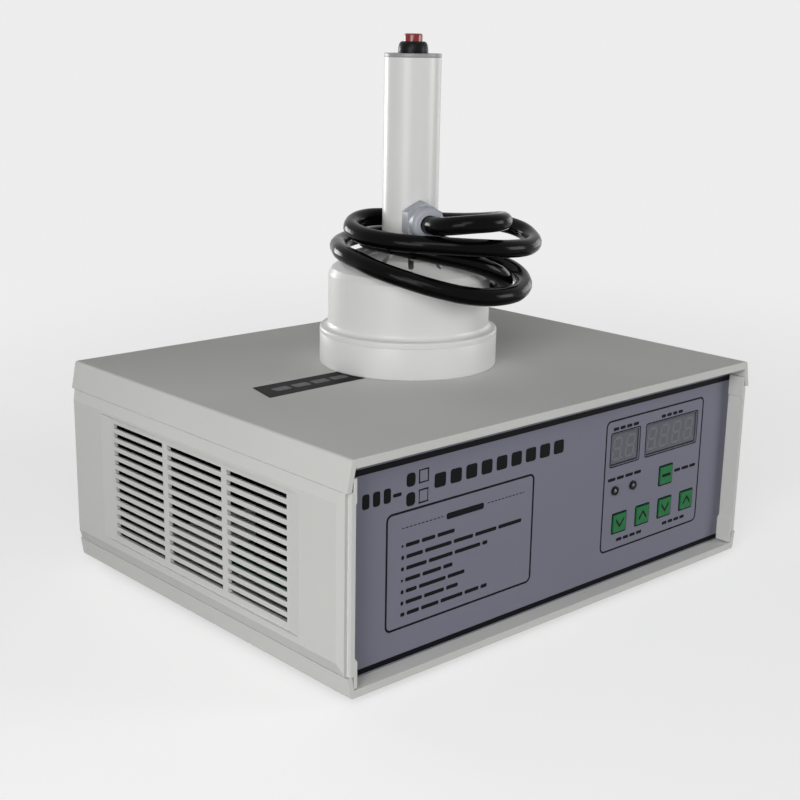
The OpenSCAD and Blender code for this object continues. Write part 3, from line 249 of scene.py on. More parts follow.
# tint and worn tone, size of the worn patches, roughness span, grain and its depth
plainFinishes = {
    "shellPlastic": {"tint": "#d7d7d4", "patch": "#cbccc8", "patchScale": 7, "rough": (0.5, 0.66),
                     "grain": 1300, "depth": 0.00014, "specular": 0.1,
                     # inside: painted shade, near-black on the shells' inner faces
                     "inside": {"tint": "#141517", "centre": (0, 0, 71.8),
                                "half": (163, 118, 59.8), "edge": 0.2}},
    "headPlastic": {"tint": "#e3e3e2", "patch": "#d9d9d7", "patchScale": 16, "rough": (0.29, 0.37),
                    "grain": 60, "depth": 0.00008, "specular": 0.4},
    "filmGrey": {"tint": "#7e7e8d", "patch": "#757585", "patchScale": 5, "rough": (0.42, 0.5),
                 "grain": 1900, "depth": 0.00005, "specular": 0.15},
    "rearSheet": {"tint": "#8d909b", "patch": "#868993", "patchScale": 8, "rough": (0.38, 0.5),
                  "grain": 2200, "depth": 0.00004, "specular": 0.4,
                  # inside: painted shade, near-black on the rear panel's inner face
                  "inside": {"tint": "#141517", "centre": (0, 0, 0),
                             "half": (400, 122.6, 400), "edge": 0.2}},
    "footRubber": {"tint": "#1b1b1c", "patch": "#232324", "patchScale": 120, "rough": (0.65, 0.85),
                   "grain": 1800, "depth": 0.0001, "specular": 0.15},
    "blackPlastic": {"tint": "#0e0e10", "patch": "#141416", "patchScale": 60, "rough": (0.3, 0.42),
                     "grain": 1600, "depth": 0.00008, "specular": 0.12},
    "leadJacket": {"tint": "#050506", "patch": "#090909", "patchScale": 40, "rough": (0.11, 0.2),
                   "grain": 420, "depth": 0.00012, "specular": 0.07},
    "keyGreen": {"tint": "#237643", "patch": "#1b6437", "patchScale": 160, "rough": (0.42, 0.5),
                 "grain": 2400, "depth": 0.00005, "specular": 0.15},
    "glandNylon": {"tint": "#acb0b7", "patch": "#a0a4ac", "patchScale": 70, "rough": (0.32, 0.42),
                   "grain": 900, "depth": 0.00008, "specular": 0.4},
    "endCapGrey": {"tint": "#9c9d9f", "patch": "#8f9092", "patchScale": 90, "rough": (0.3, 0.42),
                   "grain": 1200, "depth": 0.00006, "specular": 0.4},
    "buttonRed": {"tint": "#8f1518", "patch": "#7c1013", "patchScale": 150, "rough": (0.14, 0.22),
                  "grain": 500, "depth": 0.00006, "specular": 0.5},
    "rockerRed": {"tint": "#8f1d1d", "patch": "#7f1818", "patchScale": 120, "rough": (0.28, 0.36),
                  "grain": 900, "depth": 0.00005, "specular": 0.5},
    "boardGreen": {"tint": "#2d6b45", "patch": "#28603e", "patchScale": 90, "rough": (0.3, 0.45),
                   "grain": 1500, "depth": 0.00006, "specular": 0.45},
    "capacitorYellow": {"tint": "#c9b26a", "patch": "#bfa85f", "patchScale": 60,
                        "rough": (0.3, 0.4), "grain": 900, "depth": 0.00005, "specular": 0.45},
    "capacitorBlue": {"tint": "#3b4f8f", "patch": "#354884", "patchScale": 60,
                      "rough": (0.3, 0.4), "grain": 900, "depth": 0.00005, "specular": 0.45},
    "ferriteGrey": {"tint": "#3a3a3c", "patch": "#444446", "patchScale": 180, "rough": (0.55, 0.75),
                    "grain": 1400, "depth": 0.00012, "specular": 0.35},
    "displayGrey": {"tint": "#62626b", "patch": "#5a5a63", "patchScale": 80, "rough": (0.28, 0.36),
                    "grain": 1400, "depth": 0.00003, "specular": 0.2},
    "segmentGrey": {"tint": "#74747c", "patch": "#6c6c74", "patchScale": 200, "rough": (0.28, 0.36),
                    "grain": 1600, "depth": 0.00002, "specular": 0.2},
    "printBlack": {"tint": "#08080a", "patch": "#0e0e11", "patchScale": 220, "rough": (0.5, 0.6),
                   "grain": 2600, "depth": 0.00002, "specular": 0.06},
    "labelBlack": {"tint": "#0e0e10", "patch": "#161618", "patchScale": 130, "rough": (0.5, 0.62),
                   "grain": 1800, "depth": 0.00003, "specular": 0.06},
    "labelSilver": {"tint": "#77787b", "patch": "#47484b", "patchScale": 300, "rough": (0.45, 0.58),
                    "grain": 1800, "depth": 0.00002, "specular": 0.1},
    "padFoam": {"tint": "#0c0c0d", "patch": "#161617", "patchScale": 400, "rough": (0.8, 0.95),
                "grain": 1500, "depth": 0.0006, "specular": 0.05},
    "markWhite": {"tint": "#d8d8d6", "patch": "#cfcfcc", "patchScale": 200, "rough": (0.4, 0.5),
                  "grain": 1800, "depth": 0.00002, "specular": 0.4},
}
# tint and worn tone, roughness span, scale of the brushing and its stretch
metalFinishes = {
    "platedSteel": {"tint": "#b9bcc0", "patch": "#a9acb0", "rough": (0.28, 0.4),
                    "scale": 400, "stretch": (1, 1, 8)},
    "guardChrome": {"tint": "#cfd2d5", "patch": "#c2c5c9", "rough": (0.1, 0.18),
                    "scale": 200, "stretch": (1, 1, 1)},
    "sinkAluminium": {"tint": "#c4c7ca", "patch": "#b6b9bd", "rough": (0.3, 0.42),
                      "scale": 90, "stretch": (30, 30, 1)},
    "sinkBlack": {"tint": "#232427", "patch": "#1b1c1e", "rough": (0.42, 0.56),
                  "scale": 90, "stretch": (30, 30, 1)},
    "pinBrass": {"tint": "#c9a850", "patch": "#b89743", "rough": (0.28, 0.36),
                 "scale": 300, "stretch": (1, 12, 1)},
    "windingCopper": {"tint": "#a5642f", "patch": "#8f5326", "rough": (0.28, 0.4),
                      "scale": 160, "stretch": (1, 1, 14)},
}
metalGrain = {"finer": 3, "depth": 0.00004, "detail": 3}
# tint, roughness span, how clear, scale of the haze, grain and its depth
clearFinishes = {
    "lampLens": {"tint": "#7c8388", "rough": (0.08, 0.16), "through": 0.3, "ior": 1.5,
                 "haze": 300, "grain": 400, "depth": 0.00003},
    "fuseGlass": {"tint": "#dfe6e8", "rough": (0.03, 0.08), "through": 0.9, "ior": 1.5,
                  "haze": 300, "grain": 400, "depth": 0.00003},
}


def makePlain(name, s):
    finish, tree, shader = blankFinish(name)
    patches = addNoise(tree, s["patchScale"], detail=1)
    colour = addBlend(tree, addRange(tree, patches, 0, 1), tone(s["tint"]), tone(s["patch"]))
    # painted shade: the inner faces get the near-black inside colour
    if "inside" in s:
        colour = addPaintedShadeInside(tree, colour, s["inside"])
    tree.links.new(colour, shader.inputs["Base Color"])
    tree.links.new(addRange(tree, patches, *s["rough"]), shader.inputs["Roughness"])
    shader.inputs["Specular IOR Level"].default_value = s["specular"]
    addGrain(tree, shader, s["grain"], s["depth"])
    return finish


def makeMetal(name, s):
    finish, tree, shader = blankFinish(name)
    brushing = addNoise(tree, s["scale"], detail=4, stretch=s["stretch"])
    colour = addBlend(tree, addRange(tree, brushing, 0, 1), tone(s["tint"]), tone(s["patch"]))
    tree.links.new(colour, shader.inputs["Base Color"])
    tree.links.new(addRange(tree, brushing, *s["rough"]), shader.inputs["Roughness"])
    shader.inputs["Metallic"].default_value = 1.0
    addGrain(tree, shader, s["scale"] * metalGrain["finer"], metalGrain["depth"],
             metalGrain["detail"], s["stretch"])
    return finish


def makeClear(name, s):
    finish, tree, shader = blankFinish(name)
    haze = addNoise(tree, s["haze"], detail=2)
    tree.links.new(addRange(tree, haze, *s["rough"]), shader.inputs["Roughness"])
    shader.inputs["Base Color"].default_value = tone(s["tint"])
    shader.inputs["Transmission Weight"].default_value = s["through"]
    shader.inputs["IOR"].default_value = s["ior"]
    addGrain(tree, shader, s["grain"], s["depth"])
    return finish


finishes = {name: makePlain(name, s) for name, s in plainFinishes.items()}
finishes.update({name: makeMetal(name, s) for name, s in metalFinishes.items()})
finishes.update({name: makeClear(name, s) for name, s in clearFinishes.items()})

nodeFinishes = {
    "shellPlastic": "top_cover base_shell side_panel_left side_panel_right",
    "headPlastic": "head_cap head_body handle_tube",
    "filmGrey": "front_film",
    "rearSheet": "rear_panel",
    "sinkAluminium": "front_panel",
    "sinkBlack": "heat_sink",
    "footRubber": "rubber_feet",
    "blackPlastic": "lamp_bezels tact_switches fan_frame fan_rotor mains_inlet switch_housing "
                    "fuse_holder fuse_cap trigger_switch power_transistors bridge_rectifier",
    "leadJacket": "head_cable",
    "keyGreen": "key_reset key_time_down key_time_up key_count_down key_count_up",
    "glandNylon": "rear_gland_body rear_gland_dome rear_gland_nut gland_body gland_dome "
                  "coil_carrier",
    "endCapGrey": "handle_end_cap",
    "buttonRed": "trigger_button",
    "rockerRed": "switch_rocker",
    "boardGreen": "control_board power_board",
    "capacitorYellow": "filter_capacitor",
    "capacitorBlue": "resonant_capacitors",
    "ferriteGrey": "transformer_core ferrite_bars",
    "displayGrey": "time_display count_display",
    "platedSteel": "foot_screws case_screws board_screws rear_screws board_pillars switch_nut",
    "guardChrome": "fan_guard",
    "pinBrass": "inlet_pins",
    "windingCopper": "filter_choke transformer_winding induction_coil",
    "lampLens": "indicator_lamps",
    "fuseGlass": "fuse_link",
}


def wear(piece, finishName):
    piece.data.materials.clear()
    piece.data.materials.append(finishes[finishName])


for finishName, members in nodeFinishes.items():
    for member in members.split():
        wear(nodes[member], finishName)
print("finishes made:", len(finishes))


# soft edges on the moulded and turned solids, by width
softEdges = {
    "weld": 0.005, "segments": 2, "angle": 32,
    "widths": {
        0.7: "top_cover base_shell",
        0.5: "side_panel_left side_panel_right head_cap switch_rocker gland_body gland_dome "
             "rear_gland_body rear_gland_dome",
        0.4: "key_reset key_time_down key_time_up key_count_down key_count_up mains_inlet "
             "fuse_holder fuse_cap rubber_feet",
        0.3: "handle_end_cap switch_housing fan_rotor trigger_button",
    },
}


def softenEdge(node, width, s):
    weld = node.modifiers.new("weld", "WELD")
    weld.merge_threshold = s["weld"] * mm
    bevel = node.modifiers.new("softEdge", "BEVEL")
    bevel.width = width * mm
    bevel.segments = s["segments"]
    bevel.limit_method = "ANGLE"
    bevel.angle_limit = math.radians(s["angle"])
    bevel.use_clamp_overlap = True


for width, members in softEdges["widths"].items():
    for member in members.split():
        softenEdge(nodes[member], width, softEdges)
print("edges softened")


# lead, coiled over the head and led to the rear gland
leadRoute = {
    "diameter": 11, "headPlace": (-3, 6), "roof": 135, "layTurn": -42.9,
    "alongSteps": 8, "roundSteps": 6,
    "curveGain": 1.01,  # the smooth curve is longer than the straight steps between its points
    "handleGland": {"turn": -115, "height": 227.3, "steps": (36, 39)},
    "rearGland": {"x": 100, "panel": 124.1, "height": 60, "steps": (21, 18)},
    "turns": [  # right and front from the head's axis, as the camera sees them, and over the roof
        (13.9, 43.3, 92.7), (19.2, 52, 93.7), (27.9, 57.3, 95.1), (38.1, 58.1, 96.2),
        (47.5, 54.2, 96.5), (53.9, 46.4, 96.3), (56.2, 36.3, 95.7), (55, 26.3, 94.8),
        (51, 14.4, 92.9), (41.5, 0.3, 90.4), (25, -15.3, 88.1), (2.9, -24.2, 87.7),
        (-17.1, -22, 89.5), (-31.2, -11.8, 89.2), (-36.2, 5.4, 86.5), (-31.2, 22.6, 84.5),
        (-17.2, 37.8, 83.1), (-0.3, 45, 82.1), (19.7, 47, 81.4), (41.8, 44.8, 80.2),
        (61.8, 33.7, 78.5), (74.8, 14.6, 77.8), (76.9, -5.5, 79.7), (68.9, -23.6, 83.6),
        (51.9, -37.7, 85), (29.9, -46.8, 83.4), (4.9, -51.9, 80.9), (-20.1, -48.9, 76.8),
        (-38, -33.9, 73.8), (-45, -13.9, 72.8), (-44, 4.1, 72.4), (-40.1, 21.1, 71.6),
        (-31.1, 36.1, 70.1), (-20.1, 48.1, 67.1), (-4.1, 56.1, 63), (17.9, 59.2, 57.2),
        (39.8, 56.2, 52.8), (57.8, 44.3, 51.3), (68.7, 25.4, 51.7), (71.7, 5.5, 54.4),
        (66.6, -11.4, 58.3), (54.5, -26.3, 61.1), (39.4, -39.1, 64.3), (22.3, -46, 68.9),
        (3.2, -41.8, 74.5), (-14.9, -31.5, 77), (-27, -17.2, 77.9), (-28.2, -1.8, 78.2),
        (-24.3, 12.6, 78.6), (-15.4, 24.1, 78.6), (-4.5, 31.6, 77.6), (8.7, 36.4, 75.8),
        (23.1, 38, 73.3), (38.3, 34.5, 69.3), (51.6, 26.1, 63.2), (58.9, 14.7, 56.9),
        (59.7, 1.3, 50.9), (56.5, -13.1, 47), (49.7, -29.5, 44.7), (36.8, -45.7, 38.2),
        (20.7, -59.7, 28.2), (4.5, -71.8, 17.3), (-6.6, -85.8, 9), (-10.7, -104.9, 5.9),
        (-11.7, -124.9, 5.9), (-11.8, -145.9, 5.9)],
    "tail": [  # x and y from the rear gland, and over the roof
        (-4, 9.9, 6.1), (-2, 22.9, 5.6), (-0.5, 34.9, 1.3), (0, 43.9, -7.7), (0, 48.9, -19.8),
        (0, 49.9, -33.8), (0, 49.9, -48.9), (0, 47.4, -60.9), (0, 38.9, -71), (0, 27.9, -75)],
}


def leadPoints(s):
    headX, headY = s["headPlace"]
    gland, rear = s["handleGland"], s["rearGland"]
    way = math.radians(gland["turn"])
    turn = math.radians(s["layTurn"])
    points = [(headX + d * math.cos(way), headY + d * math.sin(way), gland["height"])
              for d in gland["steps"]]
    for right, front, height in s["turns"]:
        points.append((headX + right * math.cos(turn) + front * math.sin(turn),
                       headY + right * math.sin(turn) - front * math.cos(turn), s["roof"] + height))
    points += [(rear["x"] + x, rear["panel"] + y, s["roof"] + z) for x, y, z in s["tail"]]
    points += [(rear["x"], rear["panel"] + d, rear["height"]) for d in rear["steps"]]
    return [Vector(p) * mm for p in points]


def layLead(s):
    points = leadPoints(s)
    bpy.ops.object.select_all(action="DESELECT")
    bpy.ops.curve.primitive_bezier_curve_add(location=(0, 0, 0))
    lead = bpy.context.object
    lead.name = "headLead"
    lead.data.dimensions = "3D"
    spline = lead.data.splines[0]
    spline.bezier_points.add(len(points) - len(spline.bezier_points))
    for knot, point in zip(spline.bezier_points, points):
        knot.co = point
        knot.handle_left_type = knot.handle_right_type = "AUTO"
    spline.resolution_u = s["alongSteps"]
    lead.data.bevel_depth = s["diameter"] / 2 * mm
    lead.data.bevel_resolution = s["roundSteps"]
    lead.data.use_fill_caps = True
    wear(lead, "leadJacket")
    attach(lead, "case")
    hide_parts("head_cable")


layLead(leadRoute)


# modelling steps shared by the small pieces
faceTurns = {"front": (math.pi / 2, 0, 0), "top": (0, 0, 0), "rear": (-math.pi / 2, 0, 0)}


def freshPlane(name, width, height, centre, face="front"):
    bpy.ops.object.select_all(action="DESELECT")
    bpy.ops.mesh.primitive_plane_add(size=1, location=[c * mm for c in centre],
                                     rotation=faceTurns[face])
    piece = bpy.context.object
    piece.name = name
    piece.scale = (width * mm, height * mm, 1)
    bpy.ops.object.transform_apply(location=True, rotation=True, scale=True)
    return piece


def roundCorners(radius, steps=3):
    bpy.ops.object.mode_set(mode="EDIT")
    bpy.ops.mesh.select_mode(type="VERT")
    bpy.ops.mesh.select_all(action="SELECT")
    bpy.ops.mesh.bevel(offset=radius * mm, segments=steps, affect="VERTICES", offset_type="OFFSET")
    bpy.ops.object.mode_set(mode="OBJECT")


def keepRim(line):
    bpy.ops.object.mode_set(mode="EDIT")
    bpy.ops.mesh.select_mode(type="FACE")
    bpy.ops.mesh.select_all(action="SELECT")
    bpy.ops.mesh.inset(thickness=line * mm, depth=0)
    bpy.ops.mesh.delete(type="FACE")
    bpy.ops.object.mode_set(mode="OBJECT")


def pullPoints(piece, chosen, shift):
    bpy.ops.object.mode_set(mode="EDIT")
    bpy.ops.mesh.select_mode(type="VERT")
    bpy.ops.mesh.select_all(action="DESELECT")
    bpy.ops.object.mode_set(mode="OBJECT")
    for vertex in piece.data.vertices:
        vertex.select = chosen(vertex.co)
    bpy.ops.object.mode_set(mode="EDIT")
    bpy.ops.transform.translate(value=[c * mm for c in shift])
    bpy.ops.object.mode_set(mode="OBJECT")


def pick(*pieces):
    bpy.ops.object.select_all(action="DESELECT")
    for piece in pieces:
        piece.select_set(True)
    bpy.context.view_layer.objects.active = pieces[0]


def joinPieces(pieces, name):
    pick(*pieces)
    bpy.ops.object.join()
    whole = bpy.context.object
    whole.name = name
    return whole


def copyPiece(piece, name):
    pick(piece)
    bpy.ops.object.duplicate(linked=False)
    copy = bpy.context.object
    copy.name = name
    return copy


def useModifier(piece, kind, **values):
    pick(piece)
    step = piece.modifiers.new(kind.lower(), kind)
    for key, value in values.items():
        setattr(step, key, value)
    bpy.ops.object.modifier_apply(modifier=step.name)


def thicken(piece, thick, offset=1):
    useModifier(piece, "SOLIDIFY", thickness=thick * mm, offset=offset)


def cutAway(piece, cutter):
    useModifier(piece, "BOOLEAN", operation="DIFFERENCE", object=cutter, solver="EXACT")
    bpy.data.objects.remove(cutter)


def shiftBy(shift):
    return Matrix.Translation([c * mm for c in shift])


def spinBy(angle, axis):
    return Matrix.Rotation(math.radians(angle), 4, axis)


def movePiece(piece, matrix):
    piece.data.transform(matrix)
    return piece


def seat(piece, finishName, body):
    wear(piece, finishName)
    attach(piece, body)


# print on the front film; bars are left, right, low, high
filmPrint = {
    "face": -124.48, "ink": 0.08, "barRound": 0.3, "barSteps": 2, "frameSteps": 5,
    "lines": [(-166.4, 166.4, 121.2, 124.6), (-166.4, 166.4, 10.6, 13.8)], "lineCorner": 0.2,
    "frames": [  # the same with corner and line
        (-137.2, -22.6, 28.4, 95.6, 4.0, 1.25), (40.7, 139.2, 29.2, 114.5, 4.0, 1.1),
        (45.5, 74.5, 84.0, 106.4, 1.6, 0.8), (79.7, 133.9, 84.0, 106.4, 1.6, 0.8)],
    "tickBoxes": [(-114.7, -106.7, 108.0, 116.6), (-114.7, -106.7, 96.8, 105.4)],
    "tickCorner": 0.3, "tickLine": 1.2,
    "titleBars": [(-132.6, -126.6, 104.4, 106.4), (-123.2, -116.8, 108.0, 115.6),
                  (-123.2, -116.8, 97.2, 104.8)],
    "titleRuns": [  # start, count, pitch, width, low, high
        (-154.0, 3, 7.4, 5.0, 102.2, 110.4), (-102.8, 9, 12.0, 8.6, 103.2, 111.4)],
    "titleCorner": 1.4,
    "heading": (-93.0, -64.0, 83.2, 86.8), "headingLevel": 85.7,
    "headingDashes": [(-126, -95.4), (-61, -31)],
    "dash": {"long": 1.9, "pitch": 2.9, "half": 0.25, "least": 0.5},
    "textStart": -126, "textLow": 36.4, "textPitch": 6.55, "textThick": 2.2, "textGap": 1.7,
    "textRows": [  # lengths of the words, from the lowest row up
        (3, 9, 13, 17, 11, 5), (2, 12, 15, 9), (2, 8, 20, 13), (1.4, 11, 14, 7), (2, 15, 18, 20, 4),
        (2, 12, 20, 15, 17, 19), (1.4, 10, 10, 13)],
    "bullet": {"longest": 1.5, "thick": 1.4},
    "captions": [  # start, level, lengths of the words
        (47.6, 108.4, (5.2, 5.0, 5.2, 5.2)), (95.0, 108.4, (4.4, 4.6, 4.4, 4.6)),
        (44.9, 76.2, (7.2, 6.8)), (61.9, 76.2, (7.2, 6.8)), (112.2, 69.2, (6.4, 7.2, 6.2)),
        (56.3, 35.2, (5.4, 5.2, 5.4, 5.2)), (102.8, 35.2, (5, 4.8, 5, 4.8))],
    "captionThick": 2.0, "captionGap": 1.3,
}


def printPlane(s, left, right, low, high):
    centre = ((left + right) / 2, s["face"], (low + high) / 2)
    return freshPlane("print", right - left, high - low, centre)


def printBar(s, left, right, low, high, corner=None):
    bar = printPlane(s, left, right, low, high)
    roundCorners(corner or min(right - left, high - low) * s["barRound"], s["barSteps"])
    return bar


def printFrame(s, left, right, low, high, corner, line):
    rim = printPlane(s, left, right, low, high)
    roundCorners(corner, s["frameSteps"])
    keepRim(line)
    return rim


def printDashes(s, left, right):
    dash, level = s["dash"], s["headingLevel"]
    dashes = []
    while left < right - dash["least"]:
        end = min(left + dash["long"], right)
        dashes.append(printBar(s, left, end, level - dash["half"], level + dash["half"]))
        left += dash["pitch"]
    return dashes


def printWords(s, left, level, words, thick, gap):
    bars = []
    for word in words:
        high = thick if word > s["bullet"]["longest"] else s["bullet"]["thick"]
        bars.append(printBar(s, left, left + word, level - high / 2, level + high / 2))
        left += word + gap
    return bars


def printFilm(s):
    pieces = [printBar(s, *line, s["lineCorner"]) for line in s["lines"]]
    pieces += [printFrame(s, *outline) for outline in s["frames"]]
    pieces += [printFrame(s, *box, s["tickCorner"], s["tickLine"]) for box in s["tickBoxes"]]
    pieces += [printBar(s, *bar) for bar in s["titleBars"]]
    for start, count, pitch, width, low, high in s["titleRuns"]:
        lefts = [start + i * pitch for i in range(count)]
        pieces += [printBar(s, left, left + width, low, high, s["titleCorner"]) for left in lefts]
    pieces.append(printBar(s, *s["heading"]))
    for left, right in s["headingDashes"]:
        pieces += printDashes(s, left, right)
    for row, words in enumerate(s["textRows"]):
        level = s["textLow"] + row * s["textPitch"]
        pieces += printWords(s, s["textStart"], level, words, s["textThick"], s["textGap"])
    for start, level, words in s["captions"]:
        pieces += printWords(s, start, level, words, s["captionThick"], s["captionGap"])
    whole = joinPieces(pieces, "filmPrint")
    thicken(whole, s["ink"])
    seat(whole, "printBlack", "case")
    print("film printed:", len(pieces), "bars and frames")


printFilm(filmPrint)


# key signs, and a dark ring round each key: a printed outline that also paints the shade in the gap
# round the key
keySigns = {
    "face": -125.28, "ink": 0.06, "line": 1.9, "keySize": (12, 11.4),
    "chevron": {"reach": 3.8, "rise": 4.6, "weld": 0.01},
    "dash": {"long": 8.6, "corner": 0.3},
    # edge: the dark ring round each key, partly print and partly painted shade
    "edge": {"line": 0.75, "grow": 1.2, "face": -124.48, "ink": 0.1, "corner": 1.0},
    "keys": {  # x, z and sign by body
        "reset_key": (103, 68.5, "dash"), "time_down_key": (58, 46.6, "down"),
        "time_up_key": (80.9, 46.6, "up"), "count_down_key": (103.8, 46.6, "down"),
        "count_up_key": (126.7, 46.6, "up")},
}


def drawChevron(s, line):
    arm = freshPlane("chevron", s["reach"], line, (s["reach"] / 2, 0, 0))
    pullPoints(arm, lambda co: co.x > s["reach"] / 2 * mm, (0, 0, s["rise"]))
    useModifier(arm, "MIRROR", use_axis=(True, False, False), use_mirror_merge=True,
                merge_threshold=s["weld"] * mm)
    return movePiece(arm, shiftBy((0, 0, -s["rise"] / 2)))


def signKeys(s):
    edge = s["edge"]
    dash = freshPlane("dash", s["dash"]["long"], s["line"], (0, 0, 0))
    roundCorners(s["dash"]["corner"], steps=2)
    down = drawChevron(s["chevron"], s["line"])
    up = movePiece(copyPiece(down, "upChevron"), spinBy(180, "Y"))
    signs = {"dash": dash, "down": down, "up": up}
    width, height = (size + 2 * edge["grow"] for size in s["keySize"])
    rim = freshPlane("rim", width, height, (0, 0, 0))
    roundCorners(edge["corner"])
    keepRim(edge["line"])
    edges = []
    for body, (x, z, sign) in s["keys"].items():
        mark = movePiece(copyPiece(signs[sign], body + "_sign"), shiftBy((x, s["face"], z)))
        thicken(mark, s["ink"])
        seat(mark, "printBlack", body)
        edges.append(movePiece(copyPiece(rim, "keyShadeRim"), shiftBy((x, edge["face"], z))))
    for model in (dash, down, up, rim):
        bpy.data.objects.remove(model)
    # black rings round the keys, partly painted shade of the gaps
    whole = joinPieces(edges, "keyShadeRims")
    thicken(whole, edge["ink"])
    seat(whole, "printBlack", "case")
    print("keys signed:", len(s["keys"]))


signKeys(keySigns)


# unlit segments behind the display windows
displayDigits = {
    "face": -123.68, "proud": 0.06, "level": 95.2, "digitPitch": 12.6, "slant": 8,
    "half": (3.6, 6.6), "gap": 0.35, "bar": 1.5, "barCorner": 0.69,
    "dot": 1.5, "dotCorner": 0.6, "dotOut": 2.0, "dotRoom": 0.6,
    "displays": {"timeDigits": (60, 2), "countDigits": (106.8, 4)},  # centre and count of digits
}


def oneDigit(s):
    across, high = s["half"]
    flat = (2 * across - 2 * s["gap"], s["bar"])
    upright = (s["bar"], high - 2 * s["gap"])
    bars = []
    for size, x, z in [(flat, 0, high), (flat, 0, 0), (flat, 0, -high),
                       (upright, -across, high / 2), (upright, across, high / 2),
                       (upright, -across, -high / 2), (upright, across, -high / 2)]:
        bars.append(freshPlane("segment", *size, (x, 0, z)))
        roundCorners(s["barCorner"], steps=1)
    bars.append(freshPlane("dot", s["dot"], s["dot"], (across + s["dotOut"], 0, -high)))
    roundCorners(s["dotCorner"])
    lean = math.tan(math.radians(s["slant"]))
    return movePiece(joinPieces(bars, "digit"), Matrix.Shear("XY", 4, (lean, 0)))


def fillDisplays(s):
    first = oneDigit(s)
    for name, (centre, count) in s["displays"].items():
        digits = []
        for i in range(count):
            x = centre + (i - (count - 1) / 2) * s["digitPitch"] - s["dotRoom"]
            spot = shiftBy((x, s["face"], s["level"]))
            digits.append(movePiece(copyPiece(first, "digit"), spot))
        whole = joinPieces(digits, name)
        thicken(whole, s["proud"])
        seat(whole, "segmentGrey", "case")
    bpy.data.objects.remove(first)
    print("displays filled")


fillDisplays(displayDigits)


# label on the roof, cut round the head's cap, with plain bars for its print
roofLabel = {
    "left": -126, "right": -40, "front": -13, "back": 9.7, "roof": 134.98, "thick": 0.14,
    "corner": 1.0,
    "askew": [(-1, (-3.3, -1.4, 0)), (1, (2.6, 0.7, 0))],  # the left end's front and back corners
    "cap": {"centre": (-3, 6), "radius": 55.95, "height": 20, "facets": 180},
    "bars": [(-117, -105), (-102.4, -90.4), (-87.7, -75.7), (-73.1, -61.1)],
    "barSpan": (-5.1, 1.7), "barCorner": 1.6, "barThick": 0.04, "barSunk": 0.01,
}


def cutRound(piece, s, level):
    bpy.ops.object.select_all(action="DESELECT")
    bpy.ops.mesh.primitive_cylinder_add(
        vertices=s["facets"], radius=s["radius"] * mm, depth=s["height"] * mm,
        location=[c * mm for c in (*s["centre"], level)])
    cutAway(piece, bpy.context.object)


def layLabel(s):
    x, y = (s["left"] + s["right"]) / 2, (s["front"] + s["back"]) / 2
    plate = freshPlane("roofLabel", s["right"] - s["left"], s["back"] - s["front"],
                       (x, y, s["roof"]), "top")
    for side, shift in s["askew"]:
        pullPoints(plate, lambda co: co.x < x * mm and (co.y - y * mm) * side > 0, shift)
    roundCorners(s["corner"])
    thicken(plate, s["thick"])
    cutRound(plate, s["cap"], s["roof"])
    seat(plate, "labelBlack", "case")
    low, high = s["barSpan"]
    level = s["roof"] + s["thick"] - s["barSunk"]
    bars = []
    for left, right in s["bars"]:
        centre = ((left + right) / 2, (low + high) / 2, level)
        bars.append(freshPlane("labelBar", right - left, high - low, centre, "top"))
        roundCorners(s["barCorner"])
    whole = joinPieces(bars, "labelBars")
    thicken(whole, s["barThick"])
    seat(whole, "labelSilver", "case")
    print("roof label laid")


layLabel(roofLabel)


# turned pieces: a circle, extruded ring by ring; rings are radius and level
turning = {"weld": 0.001, "smoothAngle": 40}


def turnedPiece(name, rings, facets):
    bpy.ops.object.select_all(action="DESELECT")
    radius, level = rings[0]
    bpy.ops.mesh.primitive_circle_add(vertices=facets, radius=radius * mm, location=(0, 0, 0))
    piece = bpy.context.object
    piece.name = name
    movePiece(piece, shiftBy((0, 0, level)))
    bpy.ops.object.mode_set(mode="EDIT")
    bpy.ops.mesh.select_mode(type="EDGE")
    bpy.ops.mesh.select_all(action="SELECT")
    for nextRadius, nextLevel in rings[1:]:
        rise = (0, 0, (nextLevel - level) * mm)
        bpy.ops.mesh.extrude_edges_move(TRANSFORM_OT_translate={"value": rise})
        grow = nextRadius / radius
        bpy.ops.transform.resize(value=(grow, grow, 1), center_override=(0, 0, nextLevel * mm))
        radius, level = nextRadius, nextLevel
    bpy.ops.object.mode_set(mode="OBJECT")
    return piece


def smoothPiece(piece):
    pick(piece)
    bpy.ops.object.shade_smooth_by_angle(angle=math.radians(turning["smoothAngle"]))


# a ring's last circle is welded to its first, and a solid's two ends get a face each
def finishTurned(piece, ring):
    pick(piece)
    bpy.ops.object.mode_set(mode="EDIT")
    bpy.ops.mesh.select_all(action="SELECT")
    if ring:
        bpy.ops.mesh.remove_doubles(threshold=turning["weld"] * mm)
    else:
        bpy.ops.mesh.select_mode(type="EDGE")
        bpy.ops.mesh.region_to_loop()
        bpy.ops.mesh.edge_face_add()
        bpy.ops.mesh.select_all(action="SELECT")
    bpy.ops.mesh.normals_make_consistent(inside=False)
    bpy.ops.object.mode_set(mode="OBJECT")
    smoothPiece(piece)
    return piece


# pale sealing rings where the lead enters the two glands
glandSeals = {
    "rings": [(5.62, 18.2), (5.62, 20.6), (5.8, 21.15), (6.4, 21.3), (6.9, 21.0), (7.0, 20.4),
              (6.6, 20.2), (5.9, 18.4), (5.62, 18.2)],
    "facets": 40,
    "places": {"handleSeal": {"centre": (-3, 6, 227.3), "out": 18.0, "turn": -115},
               "rearSeal": {"centre": (100, 124.1, 60), "out": 0.0, "turn": 90}},
}


def fitSeals(s):
    first = finishTurned(turnedPiece("seal", s["rings"], s["facets"]), True)
    for name, place in s["places"].items():
        seal = copyPiece(first, name)
        way = spinBy(place["turn"], "Z") @ spinBy(90, "Y")
        movePiece(seal, shiftBy(place["centre"]) @ way @ shiftBy((0, 0, place["out"])))
        seat(seal, "glandNylon", "case")
    bpy.data.objects.remove(first)
    print("gland seals fitted")


fitSeals(glandSeals)


